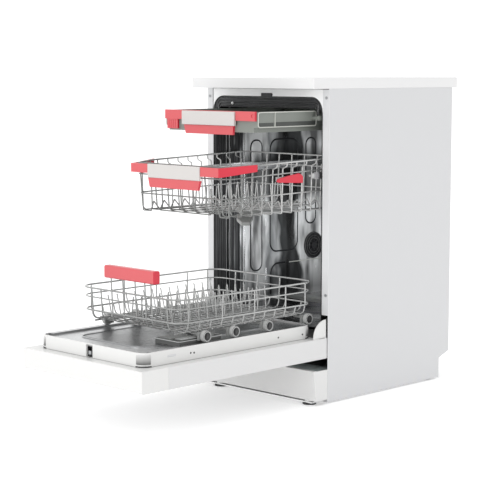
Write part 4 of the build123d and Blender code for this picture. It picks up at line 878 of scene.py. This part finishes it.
levers = join_meshes("lever_tongues", [lever_tongue("lt", 1), lever_tongue("lt", -1)])
lever_obj = link("lever_tongues", levers, "coral_deep", "levers")
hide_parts("height_levers")
soften("cutlery_handle", "cutlery", 1.0, ["coral", "coral_deep"], painted_side_shade)
soften("cutlery_handle_insert", "cutlery", 1.2, ["insert"])
soften("worktop", "root", 0.8, ["board"])

# ------------------------------------------------------------- wheel hubs
for i, wy in enumerate((-400, -302, -183, -34), 1):
    b = bmesh.new()
    me = bpy.data.meshes.new("wheel_hub_%d" % i)
    for s in (-1, 1):
        rings_ = []
        for rr, xx in ((9.9, 188.6), (9.9, 189.7), (8.9, 190.2), (6.0, 190.2), (5.7, 189.2)):
            rings_.append([b.verts.new(P(s * xx, wy + rr * math.cos(2 * math.pi * k / 28), 223.5 + rr * math.sin(2 * math.pi * k / 28)))
                           for k in range(28)])
        for u, w in zip(rings_, rings_[1:]):
            for k in range(28):
                b.faces.new((u[k], u[(k + 1) % 28], w[(k + 1) % 28], w[k]))
    bmesh.ops.recalc_face_normals(b, faces=b.faces)
    b.to_mesh(me)
    b.free()
    sharp(me, 35)
    link("wheel_hub_%d" % i, me, "black", "wheels_%d" % i)

for i, wy in enumerate((-400, -302, -183, -34), 1):
    rims = []
    for s in (-1, 1):
        rims.append(([(s * 190.15, wy + 13.0 * math.cos(2 * math.pi * k / 36), 223.5 + 13.0 * math.sin(2 * math.pi * k / 36))
                      for k in range(36)], 1.5, None, True))
    studs("wheel_cap_%d" % i, [(P(s * 190.3, wy, 223.5), (s, 0, 0), 6.2, 0.9) for s in (-1, 1)], "black", "wheels_%d" % i)
    link("wheel_rim_%d" % i, wires_mesh("wheel_rim_%d" % i, rims), "disp", "wheels_%d" % i)

# ------------------------------------------------------------- cutlery tray flanks
for tag, s in (("right", 1), ("left", -1)):
    X0 = TRAY_X
    frame_pts = [(s * (X0 + 0.9), y, z) for y, z in rrect(-96, 741, 214, 37, 6, 5)]
    link("tray_frame_" + tag, wires_mesh("tray_frame", [(frame_pts, 2.6, None, True),
         ([(s * (X0 + 0.9), -143, 722.5), (s * (X0 + 0.9), -143, 759.5)], 2.4, None, False)]), "tray_rim", "cutlery")
    a, c = sorted((s * (X0 - 0.2), s * (X0 + 0.5)))
    link("tray_shade_" + tag, join_meshes("tray_shade", [
        box_mesh("ts1", a, c, -201, -147, 724.5, 733.5, 0.2),
        box_mesh("ts2", a, c, -139, 9, 724.5, 734.5, 0.2)]), "tray_dark", "cutlery")

# ------------------------------------------------------------- stage
floor_me = bpy.data.meshes.new("stage_floor")
bm = bmesh.new()
profile = [(-14.0, 0.0)] + [(9.0 + 3.0 * math.sin(a), 3.0 - 3.0 * math.cos(a)) for a in
                            [i * math.pi / 2 / 16 for i in range(17)]] + [(12.0, 9.0)]
rows = []
for t, z in profile:
    c = math.cos(math.radians(45))
    base = Vector((-c * t, c * t, z))
    side = Vector((c, c, 0)) * 16.0
    rows.append((bm.verts.new(base - side), bm.verts.new(base + side)))
for a, b in zip(rows, rows[1:]):
    bm.faces.new((a[0], a[1], b[1], b[0]))
bm.to_mesh(floor_me)
bm.free()
floor = bpy.data.objects.new("stage_floor", floor_me)
scene.collection.objects.link(floor)
for poly in floor_me.polygons:
    poly.use_smooth = True
floor_mat = plain("studio_floor", (0.90, 0.90, 0.90), 0.9, vary=0.004, grain=60, grain_h=0.0001)
floor_bsdf = next(n for n in floor_mat.node_tree.nodes if n.type == "BSDF_PRINCIPLED")
floor_bsdf.inputs["Emission Color"].default_value = (1.0, 1.0, 1.0, 1.0)
floor_bsdf.inputs["Emission Strength"].default_value = 0.26
floor_me.materials.append(floor_mat)
floor.location.z = -0.0005
